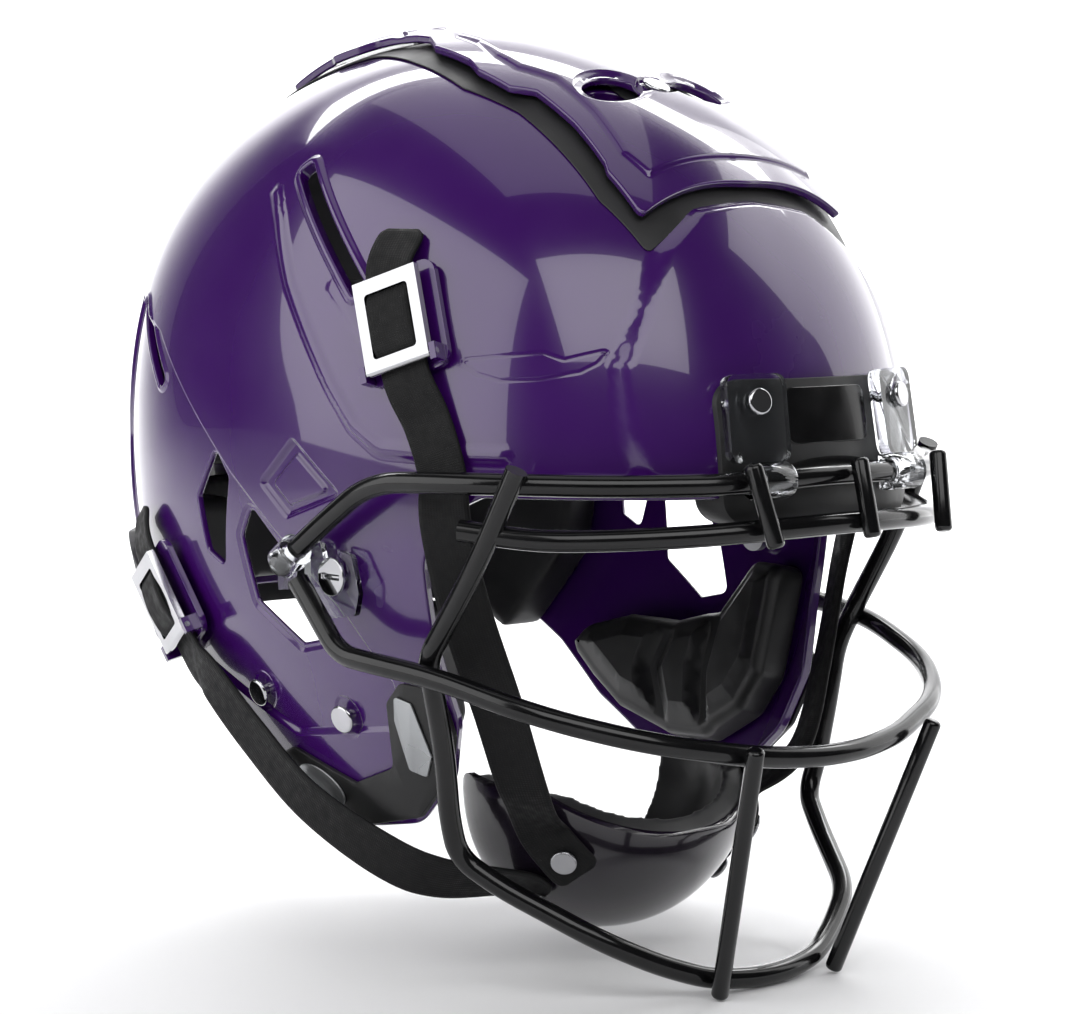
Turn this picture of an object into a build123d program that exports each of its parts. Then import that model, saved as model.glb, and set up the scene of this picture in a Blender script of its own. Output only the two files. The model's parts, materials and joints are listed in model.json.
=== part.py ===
from build123d import *
from functools import cache
import math
import os

# Football helmet in millimetres. +X is the wearer's left, -Y is forward, +Z is up.
# The model is laid out about the middle of the head and moved at export, so that its
# origin lies on the surface it stands on, under the middle of its bounding box.
MIDDLE_Y = -10.43
LOWEST_Z = -188.13

# Outer surface of the shell: radii from its centre in the plane between left and right,
# every 30 degrees from the brow, over the crown and the nape, round to the chin.
CENTRE_Y = 8.0
CENTRE_Z = 2.5
HALF_WIDTH = 115.0
PROFILE = (162, 155.5, 146.5, 148, 152, 154, 150, 160, 182, 205, 200, 178)
ROUND_FRONT = 2.45
ROUND_TOP = 2.4
ROUND_BACK = 2.7
TUCK_START = -20.0
TUCK_HEIGHT = 90.0
TUCK_AMOUNT = 0.055

WALL = 4.2
WIRE = 7.6
UPRIGHT = 6.2
STRAP_WIDTH = 19.0
STRAP_THICK = 1.6

# Mask hinge in the brow clips.
HINGE_Y = -161.4
HINGE_Z = -4.8
FLIP_ANGLES = (0, 6, 15, 30, 45, 52, 60)
BROW_CLIP_X = 34.0

# Side clip studs.
STUD_Y = -32.0
STUD_Z = -41.0
STUD_SHANK = 2.5
STUD_HEAD = 6.8
DRIVE_SLOT = (1.6, 9.0, 1.4)
RUNNING_GAP = 0.05
MASK_HALF = 123.0


def lobe(angle):
    """Weight of one profile radius at an angle away from its own."""
    count = len(PROFILE)
    turn = (angle + math.pi) % (2 * math.pi) - math.pi
    if abs(turn) < 1e-9:
        return 1.0
    return math.sin(count * turn / 2) / (count * math.tan(turn / 2))


def profile_radius(angle):
    step = 2 * math.pi / len(PROFILE)
    return sum(radius * lobe(angle - index * step) for index, radius in enumerate(PROFILE))


def tuck(z):
    """How far the jaw is drawn in below the ears, as a factor on the width."""
    part = min(max((TUCK_START - z) / TUCK_HEIGHT, 0.0), 1.0)
    return 1 - TUCK_AMOUNT * part * part * (3 - 2 * part)


def excess(x, y, z):
    """Radial distance of a point outside the shell's outer surface."""
    side = abs(x) / tuck(z)
    back = y - CENTRE_Y
    rise = z - CENTRE_Z
    length = math.sqrt(side * side + back * back + rise * rise)
    reach = math.hypot(back, rise)
    angle = math.atan2(rise, -back)
    lean = math.cos(angle)
    end = ROUND_FRONT if lean > 0 else ROUND_BACK
    power = ROUND_TOP + (end - ROUND_TOP) * lean * lean
    across = (side / length / HALF_WIDTH) ** power
    along = (reach / length / profile_radius(angle)) ** power
    return length - (across + along) ** (-1 / power)


def slope(x, y, z):
    h = 0.5
    gx = (excess(x + h, y, z) - excess(x - h, y, z)) / (2 * h)
    gy = (excess(x, y + h, z) - excess(x, y - h, z)) / (2 * h)
    gz = (excess(x, y, z + h) - excess(x, y, z - h)) / (2 * h)
    return Vector(gx, gy, gz)


def height(x, y, z):
    """Distance of a point outside the shell's outer surface, along the normal."""
    return excess(x, y, z) / slope(x, y, z).length


def solve(start, direction, offset, far):
    """Distance from start along direction at which the height is offset."""
    low = 0.0
    high = far
    for _ in range(26):
        middle = (low + high) / 2
        point = start + direction * middle
        if height(point.X, point.Y, point.Z) > offset:
            high = middle
        else:
            low = middle
    return low


def beside(y, z, offset=0.0):
    """Point on the left side of the shell at a height above its surface."""
    x = solve(Vector(1, y, z), Vector(1, 0, 0), offset, 200) + 1
    return Vector(x, y, z)


def ring(z, offset, count=18):
    """Level section of the surface at one offset, as a closed curve."""
    start = Vector(0, CENTRE_Y, z)
    points = []
    for index in range(count):
        bearing = 2 * math.pi * (index + 0.5) / count
        direction = Vector(math.sin(bearing), -math.cos(bearing), 0)
        points.append(start + direction * solve(start, direction, offset, 260))
    return Wire(Spline(*points, periodic=True))


@cache
def dome(offset):
    """Solid inside the shell's surface grown by offset, down to a level below the chin."""
    top = CENTRE_Z + solve(Vector(0, CENTRE_Y, CENTRE_Z), Vector(0, 0, 1), offset, 200)
    rise = top - CENTRE_Z
    levels = [CENTRE_Z - drop for drop in (170, 130, 95, 60, 28)]
    levels += [CENTRE_Z + rise * math.sin(math.radians(lift)) for lift in (0, 18, 36, 51, 64, 75, 83.5)]
    return Solid.make_loft([ring(level, offset) for level in levels])


def slab(corners, low, high, radius=0.0):
    """Prism along X between two positions, from side-view corners given as (y, z)."""
    points = [Vector(low, y, z) for y, z in corners]
    if radius:
        line = FilletPolyline(*points, radius=radius, close=True)
        outline = Wire(line.edges())
    else:
        outline = Wire.make_polygon(points, close=True)
    return Solid.extrude(Face(outline), Vector(high - low, 0, 0))


def both_sides(solid):
    return [solid, mirror(solid, about=Plane.YZ)]


def seat(point, up=Vector(0, 0, 1)):
    """Plane on the shell at a point, Z outward and Y as near as possible to up."""
    normal = slope(point.X, point.Y, point.Z).normalized()
    along = (up - normal * up.dot(normal)).normalized()
    return Plane(origin=point, x_dir=along.cross(normal), z_dir=normal)


def in_front(x, z, offset=0.0):
    """Point on the front of the shell at a height above its surface."""
    start = Vector(x, CENTRE_Y, z)
    return start + Vector(0, -1, 0) * solve(start, Vector(0, -1, 0), offset, 260)


def on_top(x, y, offset=0.0):
    """Point on the crown of the shell at a height above its surface."""
    start = Vector(x, y, CENTRE_Z)
    return start + Vector(0, 0, 1) * solve(start, Vector(0, 0, 1), offset, 260)


def rod(plane, radius, low, high):
    """Round bar along a plane's normal between two heights."""
    return Solid.make_cylinder(radius, high - low, plane.offset(low))


def block(plane, width, length, low, high, x=0.0, y=0.0, radius=0.0):
    """Plate on a plane with its centre at x, y and rounded upright corners."""
    shape = Pos(x, y, (low + high) / 2) * Box(width, length, high - low)
    if radius:
        shape = fillet(shape.edges().filter_by(Axis.Z), radius)
    return plane.location * shape


# ---------------------------------------------------------------- shell

BROW_EDGE = -11.0
SHELL_EDGE = [(-200, BROW_EDGE), (-90, BROW_EDGE), (-76, -18), (-67, -34), (-67, -66), (-70, -92),
              (-62, -114), (-44, -131), (-20, -135), (8, -132), (44, -112), (68, -92), (100, -72),
              (200, -62), (200, -220), (-200, -220)]
EDGE_RADII = [0, 8, 10, 14, 30, 14, 18, 16, 30, 30, 30, 20, 30, 0, 0, 0]
EAR_WINDOW = [(20, -20), (26, -31), (21, -55), (-1, -69), (-15, -66), (-5, -42)]
REAR_WINDOW = [(40, 0), (52, -18), (48, -38), (38, -43), (32, -10)]
SIDE_SLOT = [(11, 100), (6, 104), (-38, 60), (-33, 56)]
REAR_SLOT = [(106, 51), (101, 55), (75, 24), (80, 21)]
CROWN_VENTS = [(20.5, -71, 12.5, 7), (21, 22, 12, 6)]
JAW_SCREWS = [(27, -89), (-19, -94)]
BROW_SCREW = (56, 5)
CROWN_SCREWS = [(0, -72), (0, 52)]
SCREW_SHANK = 2.0
SCREW_HEAD = 5.2
HEAD_LOW = 0.9
HEAD_HIGH = 2.6
VALVE_SPOT = (0, 96)
VALVE_HOLE = 4.0
NEEDLE_HOLE = 1.2
THROUGH = 30.0


def outline_cut():
    """Everything in front of and below the shell's edge."""
    points = [Vector(-150, y, z) for y, z in SHELL_EDGE]
    line = FilletPolyline(*points, radius=EDGE_RADII, close=True)
    return Solid.extrude(Face(Wire(line.edges())), Vector(300, 0, 0))


def vent_cutters():
    cutters = []
    for x, y, half_x, half_y in CROWN_VENTS:
        for side in (-1, 1):
            oval = Pos(side * x, y, CENTRE_Z + 80) * Ellipse(half_x, half_y)
            cutters.append(Solid.extrude(oval.face(), Vector(0, 0, 100)))
    return cutters


def screw_planes():
    """Seats of the chrome screws on the left jaw and brow, with their counterparts."""
    places = [beside(y, z) for y, z in JAW_SCREWS] + [in_front(*BROW_SCREW)]
    places += [Vector(-place.X, place.Y, place.Z) for place in places]
    return [seat(place) for place in places]


def side_cutters():
    cutters = [slab(EAR_WINDOW, -150, 150, 3), slab(REAR_WINDOW, -150, 150, 2.5)]
    cutters += [slab(SIDE_SLOT, -150, 150, 2.4), slab(REAR_SLOT, -150, 150, 2.4)]
    return cutters


def make_shell():
    shell = dome(0) - dome(-WALL) - outline_cut()
    for cutter in side_cutters() + vent_cutters():
        shell = shell - cutter
    for plane in screw_planes():
        shell = shell - rod(plane, SCREW_SHANK, -THROUGH, THROUGH)
    stud_hole = Plane(origin=(90, STUD_Y, STUD_Z), z_dir=(1, 0, 0))
    for hole in both_sides(rod(stud_hole, STUD_SHANK + RUNNING_GAP, 0, 40)):
        shell = shell - hole
    for x, y in CROWN_SCREWS:
        shell = shell - rod(seat(on_top(x, y)), SCREW_SHANK, -THROUGH, THROUGH)
    shell = shell - rod(seat(on_top(*VALVE_SPOT)), VALVE_HOLE, -THROUGH, THROUGH)
    for x in (-BROW_CLIP_X, BROW_CLIP_X):
        shell = shell - rod(seat(in_front(x, 20)), SCREW_SHANK, -THROUGH, THROUGH)
    return shell


# ---------------------------------------------------------------- crown plate

PLATE_LOW = 2.4
PLATE_HIGH = 5.6
PLATE_HEAD = 5.2
PLATE_HOLE_EASE = 0.9
PLATE_NUT = 5.0
NUT_THICK = 2.5
PLATE_OUTLINE = [(51, -128), (53, -80), (51, -37), (43, 45), (36, 84)]
GASKET_BAND = 7.0


def crown_prism(inset):
    """Upright prism through the crown plate's outline, drawn in by inset."""
    half = [(x - inset, y) for x, y in PLATE_OUTLINE]
    half[0] = (half[0][0], half[0][1] + inset)
    half[-1] = (half[-1][0], half[-1][1] - inset)
    corners = half + [(-x, y) for x, y in reversed(half)]
    points = [Vector(x, y, 20) for x, y in corners]
    line = FilletPolyline(*points, radius=6, close=True)
    return Solid.extrude(Face(Wire(line.edges())), Vector(0, 0, 180))


def make_crown_plate():
    plate = (dome(PLATE_HIGH) - dome(PLATE_LOW)) & crown_prism(0)
    for cutter in vent_cutters():
        plate = plate - cutter
    for x, y in CROWN_SCREWS:
        plane = seat(on_top(x, y))
        plate = plate - rod(plane, SCREW_SHANK + PLATE_HOLE_EASE, -THROUGH, THROUGH)
    return plate


def make_crown_gasket():
    band = dome(PLATE_LOW - 0.3) - dome(0.2)
    return (band & crown_prism(2)) - crown_prism(2 + GASKET_BAND)


def make_crown_screws():
    """Screws that hold the crown plate down, with their nuts inside the shell."""
    solids = []
    for x, y in CROWN_SCREWS:
        plane = seat(on_top(x, y))
        head = rod(plane, PLATE_HEAD, PLATE_HIGH + 0.4, PLATE_HIGH + 1.8)
        shank = rod(plane, SCREW_SHANK, -WALL - 3.0, PLATE_HIGH + 0.4)
        nut = rod(plane, PLATE_NUT, -WALL - 0.5 - NUT_THICK, -WALL - 0.5)
        solids.append((head + shank + nut).solid())
    return Compound(solids)


# ---------------------------------------------------------------- brow and nape bumpers

BUMPER_HIGH = 5.4
BUMPER_HALF = 47.0
BUMPER_LOW_Z = -20.0
BUMPER_TOP_Z = 29.0
NAPE_BAND = [(101, -79), (210, -68), (210, -36), (130, -38), (106, -50)]


def make_front_bumper():
    band = dome(BUMPER_HIGH) - dome(-WALL - 2.5)
    tall = BUMPER_TOP_Z - BUMPER_LOW_Z
    body = Pos(0, -140, BUMPER_LOW_Z + tall / 2) * Box(2 * BUMPER_HALF, 90, tall)
    body = fillet(body.edges().filter_by(Axis.Y), 9)
    shell_room = dome(0.25) & region(-100, 100, -200, 0, BROW_EDGE - 0.4, 60)
    bumper = (band & body) - shell_room
    for x in (-BROW_CLIP_X, BROW_CLIP_X):
        bumper = bumper - rod(seat(in_front(x, 20)), SCREW_SHANK, -THROUGH, THROUGH)
    for bar in swept_bar():
        bumper = bumper - bar
    return bumper.solids().sort_by(SortBy.VOLUME)[-1]


def make_rear_bumper():
    band = dome(4.0) - dome(0.25)
    return band & slab(NAPE_BAND, -130, 130, 3)


# ---------------------------------------------------------------- face mask

TOP_BAR = [(123, -9, -39), (123, -34, -21.5), (123, -59, -6), (117, -90, -5), (105, -112, -5),
           (84, -136, -5.5), (50, -158.5, -5.5), (14, -165, -4)]
SECOND_BAR = [(113, -93, -21), (100, -117, -24), (84, -136, -23.5), (63, -152.5, -22.5),
              (40, -164.5, -21), (13, -171, -20)]
MIDDLE_BAR = [(123, -20, -43), (123, -42, -67), (122, -58, -68.5), (115, -83, -72), (102, -119, -82.5),
              (76, -145, -91.5), (36, -160, -99), (11, -164.5, -101)]
LOWER_LOOP = [(107.5, -115, 0), (110, -98, -33), (112, -75, -67), (105.5, -72, -81), (101, -72, -101),
              (97, -70, -124), (92, -69, -138.5), (84, -82, -148.5), (65, -112, -165.5),
              (46, -122, -175.5), (28, -129.5, -182), (9, -133, -184)]
BROW_UPRIGHTS = [((48.5, -167, 2), (44, -174, -26)), ((0, -172, 2), (0, -178.5, -25))]
CHIN_UPRIGHTS = [((47, -168, -94), (30, -136, -187))]


def bend_radius(before, corner, after):
    run_in = before - corner
    run_out = after - corner
    turn = math.pi - math.radians(run_in.get_angle(run_out))
    return 0.45 * min(run_in.length, run_out.length) / math.tan(turn / 2)


def wire_rod(half, diameter):
    """Round wire through points on the left and their mirror images on the right."""
    left = [Vector(*point) for point in half]
    points = left + [Vector(-point.X, point.Y, point.Z) for point in reversed(left)]
    radii = [bend_radius(*points[i - 1:i + 2]) for i in range(1, len(points) - 1)]
    path = Wire(FilletPolyline(*points, radius=radii).edges())
    start = Plane(origin=path @ 0, z_dir=path % 0)
    return sweep(start * Circle(diameter / 2), path=path).solid()


def upright(top, bottom, diameter):
    top = Vector(*top)
    axis = Vector(*bottom) - top
    return Solid.make_cylinder(diameter / 2, axis.length, Plane(origin=top, z_dir=axis))


def with_mirror(pairs, diameter):
    rods = []
    for top, bottom in pairs:
        rods.append(upright(top, bottom, diameter))
        if top[0]:
            rods.append(mirror(rods[-1], about=Plane.YZ))
    return rods


def cut_all(body, tools):
    for tool in tools:
        body = body - tool
    return body


def make_mask():
    """The welded wires of the mask, each trimmed to the ones that it is welded to."""
    top_bar = wire_rod(TOP_BAR, WIRE)
    second_bar = wire_rod(SECOND_BAR, WIRE)
    middle_bar = cut_all(wire_rod(MIDDLE_BAR, WIRE), [top_bar])
    loop = cut_all(wire_rod(LOWER_LOOP, WIRE), [top_bar, second_bar, middle_bar])
    bars = [top_bar, second_bar, middle_bar, loop]
    brow = [cut_all(bar, bars) for bar in with_mirror(BROW_UPRIGHTS, UPRIGHT)]
    chin = [cut_all(bar, bars) for bar in with_mirror(CHIN_UPRIGHTS, UPRIGHT)]
    return {
        "mask_top_bar": top_bar,
        "mask_second_bar": second_bar,
        "mask_middle_bar": middle_bar,
        "mask_lower_loop": loop,
        "mask_brow_uprights": Compound(brow),
        "mask_chin_uprights": Compound(chin),
    }


# ---------------------------------------------------------------- brow clips

CLIP_WIDTH = 24.0
CLIP_TALL = 30.0
CLIP_LOW = BUMPER_HIGH + 0.6
CLIP_HIGH = CLIP_LOW + 4.4
CLIP_WRAP = 6.4
WRAP_HALF = 7.5
CLIP_HEAD = 4.6
CLIP_HEAD_THICK = 2.0
BAR_EASE = 0.35


def flipped(solid, angle):
    """A piece of the mask lifted by an angle about the hinge in the brow clips."""
    return solid.rotate(Axis((0, HINGE_Y, HINGE_Z), (-1, 0, 0)), angle)


@cache
def swept_bar():
    """The top bar with room round it, at steps of its travel in the brow clips."""
    bar = wire_rod(TOP_BAR, WIRE + 2 * BAR_EASE)
    return [flipped(bar, angle) for angle in FLIP_ANGLES]


def swept_upright():
    """The left brow upright with room round it, at steps of its travel."""
    bar = upright(*BROW_UPRIGHTS[0], UPRIGHT + 2 * BAR_EASE)
    return [flipped(bar, angle) for angle in FLIP_ANGLES]


def make_brow_clip():
    """Left brow clip: a plate screwed to the bumper that wraps the mask's top bar."""
    plane = seat(in_front(BROW_CLIP_X, 15))
    plate = block(plane, CLIP_WIDTH, CLIP_TALL, CLIP_LOW, CLIP_HIGH, radius=4)
    hinge = Plane(origin=(BROW_CLIP_X, HINGE_Y, HINGE_Z), z_dir=(1, 0, 0))
    clip = plate + rod(hinge, CLIP_WRAP, -WRAP_HALF, WRAP_HALF)
    clip = clip - dome(CLIP_LOW - 0.2)
    for bar in swept_bar() + swept_upright():
        clip = clip - bar
    clip = clip - rod(seat(in_front(BROW_CLIP_X, 20)), SCREW_SHANK, -THROUGH, THROUGH)
    return clip.solids().sort_by(SortBy.VOLUME)[-1]


def make_brow_clip_screws():
    solids = []
    for x in (-BROW_CLIP_X, BROW_CLIP_X):
        plane = seat(in_front(x, 20))
        head = rod(plane, CLIP_HEAD, CLIP_HIGH + 0.6, CLIP_HIGH + 0.6 + CLIP_HEAD_THICK)
        shank = rod(plane, SCREW_SHANK, -WALL - 2.0, CLIP_HIGH + 0.6)
        solids.append((head + shank).solid())
    return Compound(solids)


# ---------------------------------------------------------------- side clips and studs

PLATE_IN = 114.4
PLATE_OUT = 116.6
SLOT_LEAN = math.radians(74)
CLIP_PLATE = [(-45, -46), (-43, -54), (-30, -56), (-9, -47), (-8, -36), (-19.2, -29), (-41, -33)]
CLIP_BLOCK = [(-19.2, -29), (-8, -36), (-9, -47), (-19.2, -46)]
SLEEVE = ((-19.2, -31.9), (-11.5, -37.3))
SLEEVE_RADIUS = 6.3
SLOT_EASE = 1.6
HEAD_GAP = 0.5
STUD_HEAD_THICK = 1.5
STUD_NUT = 6.0
STUD_INNER_END = 99.5
NUT_SPAN = (100.2, 103.8)


def make_side_clip():
    """Left side clip: a plate slotted for its stud, with a sleeve round the top bar."""
    plate = slab(CLIP_PLATE, PLATE_IN, PLATE_OUT, 2)
    web = slab(CLIP_BLOCK, PLATE_IN, MASK_HALF)
    start = Vector(MASK_HALF, *SLEEVE[0])
    run = Vector(MASK_HALF, *SLEEVE[1]) - start
    sleeve = Solid.make_cylinder(SLEEVE_RADIUS, run.length, Plane(origin=start, z_dir=run))
    clip = plate + web + sleeve
    clip = clip - wire_rod(TOP_BAR, WIRE + 0.1) - wire_rod(MIDDLE_BAR, WIRE + 0.1)
    return (clip - stud_slot()).solids().sort_by(SortBy.VOLUME)[-1]


def stud_slot():
    """Slot through the clip's plate that lets the stud out at the top."""
    half = STUD_SHANK + SLOT_EASE
    long = 30.0
    side = Vector(0, math.sin(SLOT_LEAN), -math.cos(SLOT_LEAN)) * half
    lead = Vector(0, math.cos(SLOT_LEAN), math.sin(SLOT_LEAN)) * long
    foot = Vector(PLATE_IN - 5, STUD_Y, STUD_Z)
    corners = [foot + side, foot + side + lead, foot - side + lead, foot - side]
    outline = Wire.make_polygon(corners, close=True)
    slot = Solid.extrude(Face(outline), Vector(12, 0, 0))
    return slot + rod(Plane(origin=foot, z_dir=(1, 0, 0)), half, 0, 12)


def make_stud():
    """Quarter-turn stud on the left: slotted low head, neck and shank through the shell."""
    axis = Plane(origin=(0, STUD_Y, STUD_Z), z_dir=(1, 0, 0))
    under = PLATE_OUT + HEAD_GAP
    top = under + STUD_HEAD_THICK
    head = rod(axis, STUD_HEAD, under, top)
    shank = rod(axis, STUD_SHANK, STUD_INNER_END, under)
    slot = Pos(top, STUD_Y, STUD_Z) * Box(*DRIVE_SLOT)
    return (head + shank - slot).solid()


def make_stud_nuts():
    axis = Plane(origin=(0, STUD_Y, STUD_Z), z_dir=(1, 0, 0))
    nut = rod(axis, STUD_NUT, *NUT_SPAN) - rod(axis, STUD_SHANK + RUNNING_GAP, 90, 120)
    return Compound(both_sides(nut))


# ---------------------------------------------------------------- buckles and straps

FRAME_WIDTH = 26.0
FRAME_LENGTH = 34.0
FRAME_BAR = 4.0
FRAME_LOW = 6.4
FRAME_THICK = 3.0
PIN_RADIUS = 1.1
BASE_HIGH = 3.0
UPPER_SEAT = (-57, 47)
UPPER_RUN = Vector(0, 0.33, 0.94)
LOWER_SEAT = (75, -58)
LOWER_RUN = Vector(0, 0.5, 0.87)


def upper_plane():
    return seat(beside(*UPPER_SEAT), UPPER_RUN)


def lower_plane():
    return seat(beside(*LOWER_SEAT), LOWER_RUN)


def pin_plane(plane):
    """Plane across the buckle whose origin is on the hinge pin's axis."""
    low_end = -FRAME_LENGTH / 2 + FRAME_THICK / 2
    origin = plane.from_local_coords(Vector(0, low_end, FRAME_LOW + FRAME_THICK / 2))
    return Plane(origin=origin, x_dir=plane.y_dir, z_dir=plane.x_dir)


def make_buckle(plane):
    """Frame with a window, hinged on a pin through its lower bar."""
    half = FRAME_WIDTH / 2
    top = FRAME_LOW + FRAME_THICK
    frame = block(plane, FRAME_WIDTH, FRAME_LENGTH - FRAME_THICK / 2, FRAME_LOW, top, y=FRAME_THICK / 4)
    frame = frame + rod(pin_plane(plane), FRAME_THICK / 2, -half, half)
    window = FRAME_LENGTH - 2.6 * FRAME_BAR
    frame = frame - block(plane, FRAME_WIDTH - 2 * FRAME_BAR, window, FRAME_LOW - 2, top + 2, radius=1.5)
    return (frame - rod(pin_plane(plane), PIN_RADIUS + RUNNING_GAP, -half - 1, half + 1)).solid()


def make_strap_wrap(plane):
    """Fold of webbing held in the buckle's window."""
    width = FRAME_WIDTH - 2 * FRAME_BAR - 0.6
    long = FRAME_LENGTH - 2.6 * FRAME_BAR - 0.6
    return block(plane, width, long, FRAME_LOW - 0.2, FRAME_LOW + FRAME_THICK + 0.8, radius=1.5)


def make_buckle_base(plane):
    """Moulded plate on the shell with two ears for the buckle's pin."""
    base = block(plane, FRAME_WIDTH + 8, FRAME_LENGTH + 5, 0.6, BASE_HIGH, radius=5)
    low_end = -FRAME_LENGTH / 2 + FRAME_THICK / 2
    ear_x = FRAME_WIDTH / 2 + 1.6
    for side in (-1, 1):
        base = base + block(plane, 2.4, 6, BASE_HIGH - 0.5, FRAME_LOW + FRAME_THICK, side * ear_x, low_end)
    return (base - rod(pin_plane(plane), PIN_RADIUS, -THROUGH, THROUGH)).solid()


def make_buckle_pins():
    pins = []
    for plane in (upper_plane(), lower_plane()):
        pins += both_sides(rod(pin_plane(plane), PIN_RADIUS, -ear_reach(), ear_reach()))
    return Compound(pins)


def ear_reach():
    return FRAME_WIDTH / 2 + 2.8


def station(centre, along, normal):
    """Cross-section of the webbing at a point of its route."""
    along = along.normalized()
    width = along.cross(normal).normalized()
    plane = Plane(origin=centre, x_dir=width, z_dir=along)
    return Wire((plane * Rectangle(STRAP_WIDTH, STRAP_THICK)).face().outer_wire().edges())


def webbing(route):
    """Flat strap through (centre, normal) pairs."""
    centres = [centre for centre, _ in route]
    sections = []
    for index, (centre, normal) in enumerate(route):
        before = centres[max(index - 1, 0)]
        after = centres[min(index + 1, len(centres) - 1)]
        sections.append(station(centre, after - before, normal))
    return Solid.make_loft(sections, ruled=True)


def on_shell(y, z, rise):
    point = beside(y, z, rise)
    return point, slope(point.X, point.Y, point.Z).normalized()


def through_buckle(plane, up):
    """Point of a strap's route under the buckle, at a distance up the buckle's length."""
    return plane.from_local_coords(Vector(0, up, BASE_HIGH + 1.7)), plane.z_dir


def upper_route():
    plane = upper_plane()
    route = [on_shell(-48, 79, 1.6), through_buckle(plane, 20), through_buckle(plane, -20)]
    route += [on_shell(-71, 14, 2.6), on_shell(-77, -3, 2.2)]
    free = [((106, -79, -21), (1, -0.5, 0)), ((98, -79, -50), (1, -0.55, 0.1)),
            ((85, -82, -86), (1, -0.5, 0.15)), ((73, -82, -116), (1, -0.45, 0.15))]
    route += [(Vector(*point), Vector(*normal).normalized()) for point, normal in free]
    return route + strap_end((UPPER_SNAP[0] + 4, -133), UPPER_SNAP)


def lower_route():
    plane = lower_plane()
    route = [on_shell(93, -27, 2.2), through_buckle(plane, 20), through_buckle(plane, -20)]
    free = [((108, 50, -86), (1, 0, -0.3)), ((106, 28, -105), (1, -0.1, -0.3)),
            ((102.5, 0, -126.5), (1, -0.15, -0.3)), ((93, -31, -143.5), (1, -0.4, -0.3)),
            ((80, -47, -151), (0.9, -0.5, -0.5))]
    route += [(Vector(*point), Vector(*normal).normalized()) for point, normal in free]
    return route + strap_end((LOWER_SNAP[0] + 4, -154), LOWER_SNAP)


# ---------------------------------------------------------------- chin cup

CUP_CENTRE = Vector(0, -50, -121)
CUP_HALF = (61, 50, 58)
CUP_WALL = 3.0
CUP_PAD = 9.0
CUP_PROFILE = [(-120, -140), (-96, -138), (-72, -121), (-34, -116), (-34, -200), (-120, -200)]
UPPER_SNAP = (-76, -143)
LOWER_SNAP = (-62, -159)
STRAP_RISE = 2.8
SNAP_HEAD = 4.8
SNAP_THICK = 1.6


def cup_seat(y, z):
    """Plane on the left side of the chin cup, Z outward."""
    half_x, half_y, half_z = CUP_HALF
    back = (y - CUP_CENTRE.Y) / half_y
    rise = (z - CUP_CENTRE.Z) / half_z
    across = math.sqrt(1 - back * back - rise * rise)
    outward = Vector(across / half_x, back / half_y, rise / half_z)
    return Plane(origin=(across * half_x, y, z), z_dir=outward)


def strap_end(*places):
    """Last stations of a strap, flat against the chin cup up to its snap."""
    stations = []
    for y, z in places:
        plane = cup_seat(y, z)
        stations.append((plane.origin + plane.z_dir * STRAP_RISE, plane.z_dir))
    return stations


def bowl(shrink):
    half = [size - shrink for size in CUP_HALF]
    return Pos(*CUP_CENTRE) * scale(Solid.make_sphere(1), tuple(half))


def cup_prism(drop):
    corners = [(y, z - drop if z > -150 else z) for y, z in CUP_PROFILE]
    return slab(corners, -80, 80, 4)


def make_chin_cup():
    return ((bowl(0) - bowl(CUP_WALL)) & cup_prism(0)).solid()


def make_chin_pad():
    return ((bowl(CUP_WALL + 0.3) - bowl(CUP_WALL + CUP_PAD)) & cup_prism(1.5)).solid()


def make_strap_snaps():
    """Snap studs that hold the four strap ends on the chin cup."""
    snaps = []
    for place in (UPPER_SNAP, LOWER_SNAP):
        under = STRAP_RISE + SNAP_THICK
        snaps += both_sides(rod(cup_seat(*place), SNAP_HEAD, under, under + SNAP_THICK))
    return Compound(snaps)


# ---------------------------------------------------------------- liner

PAD_DEEP = 19.0
PAD_EASE = 0.8
NAPE_PAD = [(60, -20), (60, -52), (78, -86), (112, -62), (200, -56), (200, -20)]
SIDE_PAD = [(-64, -6), (8, -18), (28, -18), (38, 4), (60, 4), (60, 66), (-64, 66)]
JAW_PAD = [(-63, -52), (-45, -52), (-27, -74), (-4, -80), (24, -80), (46, -86), (56, -94),
           (40, -106), (22, -118), (-8, -126), (-30, -125), (-52, -112), (-62, -96)]


def liner(deep):
    return dome(-WALL - PAD_EASE) - dome(-WALL - deep)


def region(x0, x1, y0, y1, z0, z1):
    return Pos((x0 + x1) / 2, (y0 + y1) / 2, (z0 + z1) / 2) * Box(x1 - x0, y1 - y0, z1 - z0)


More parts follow.
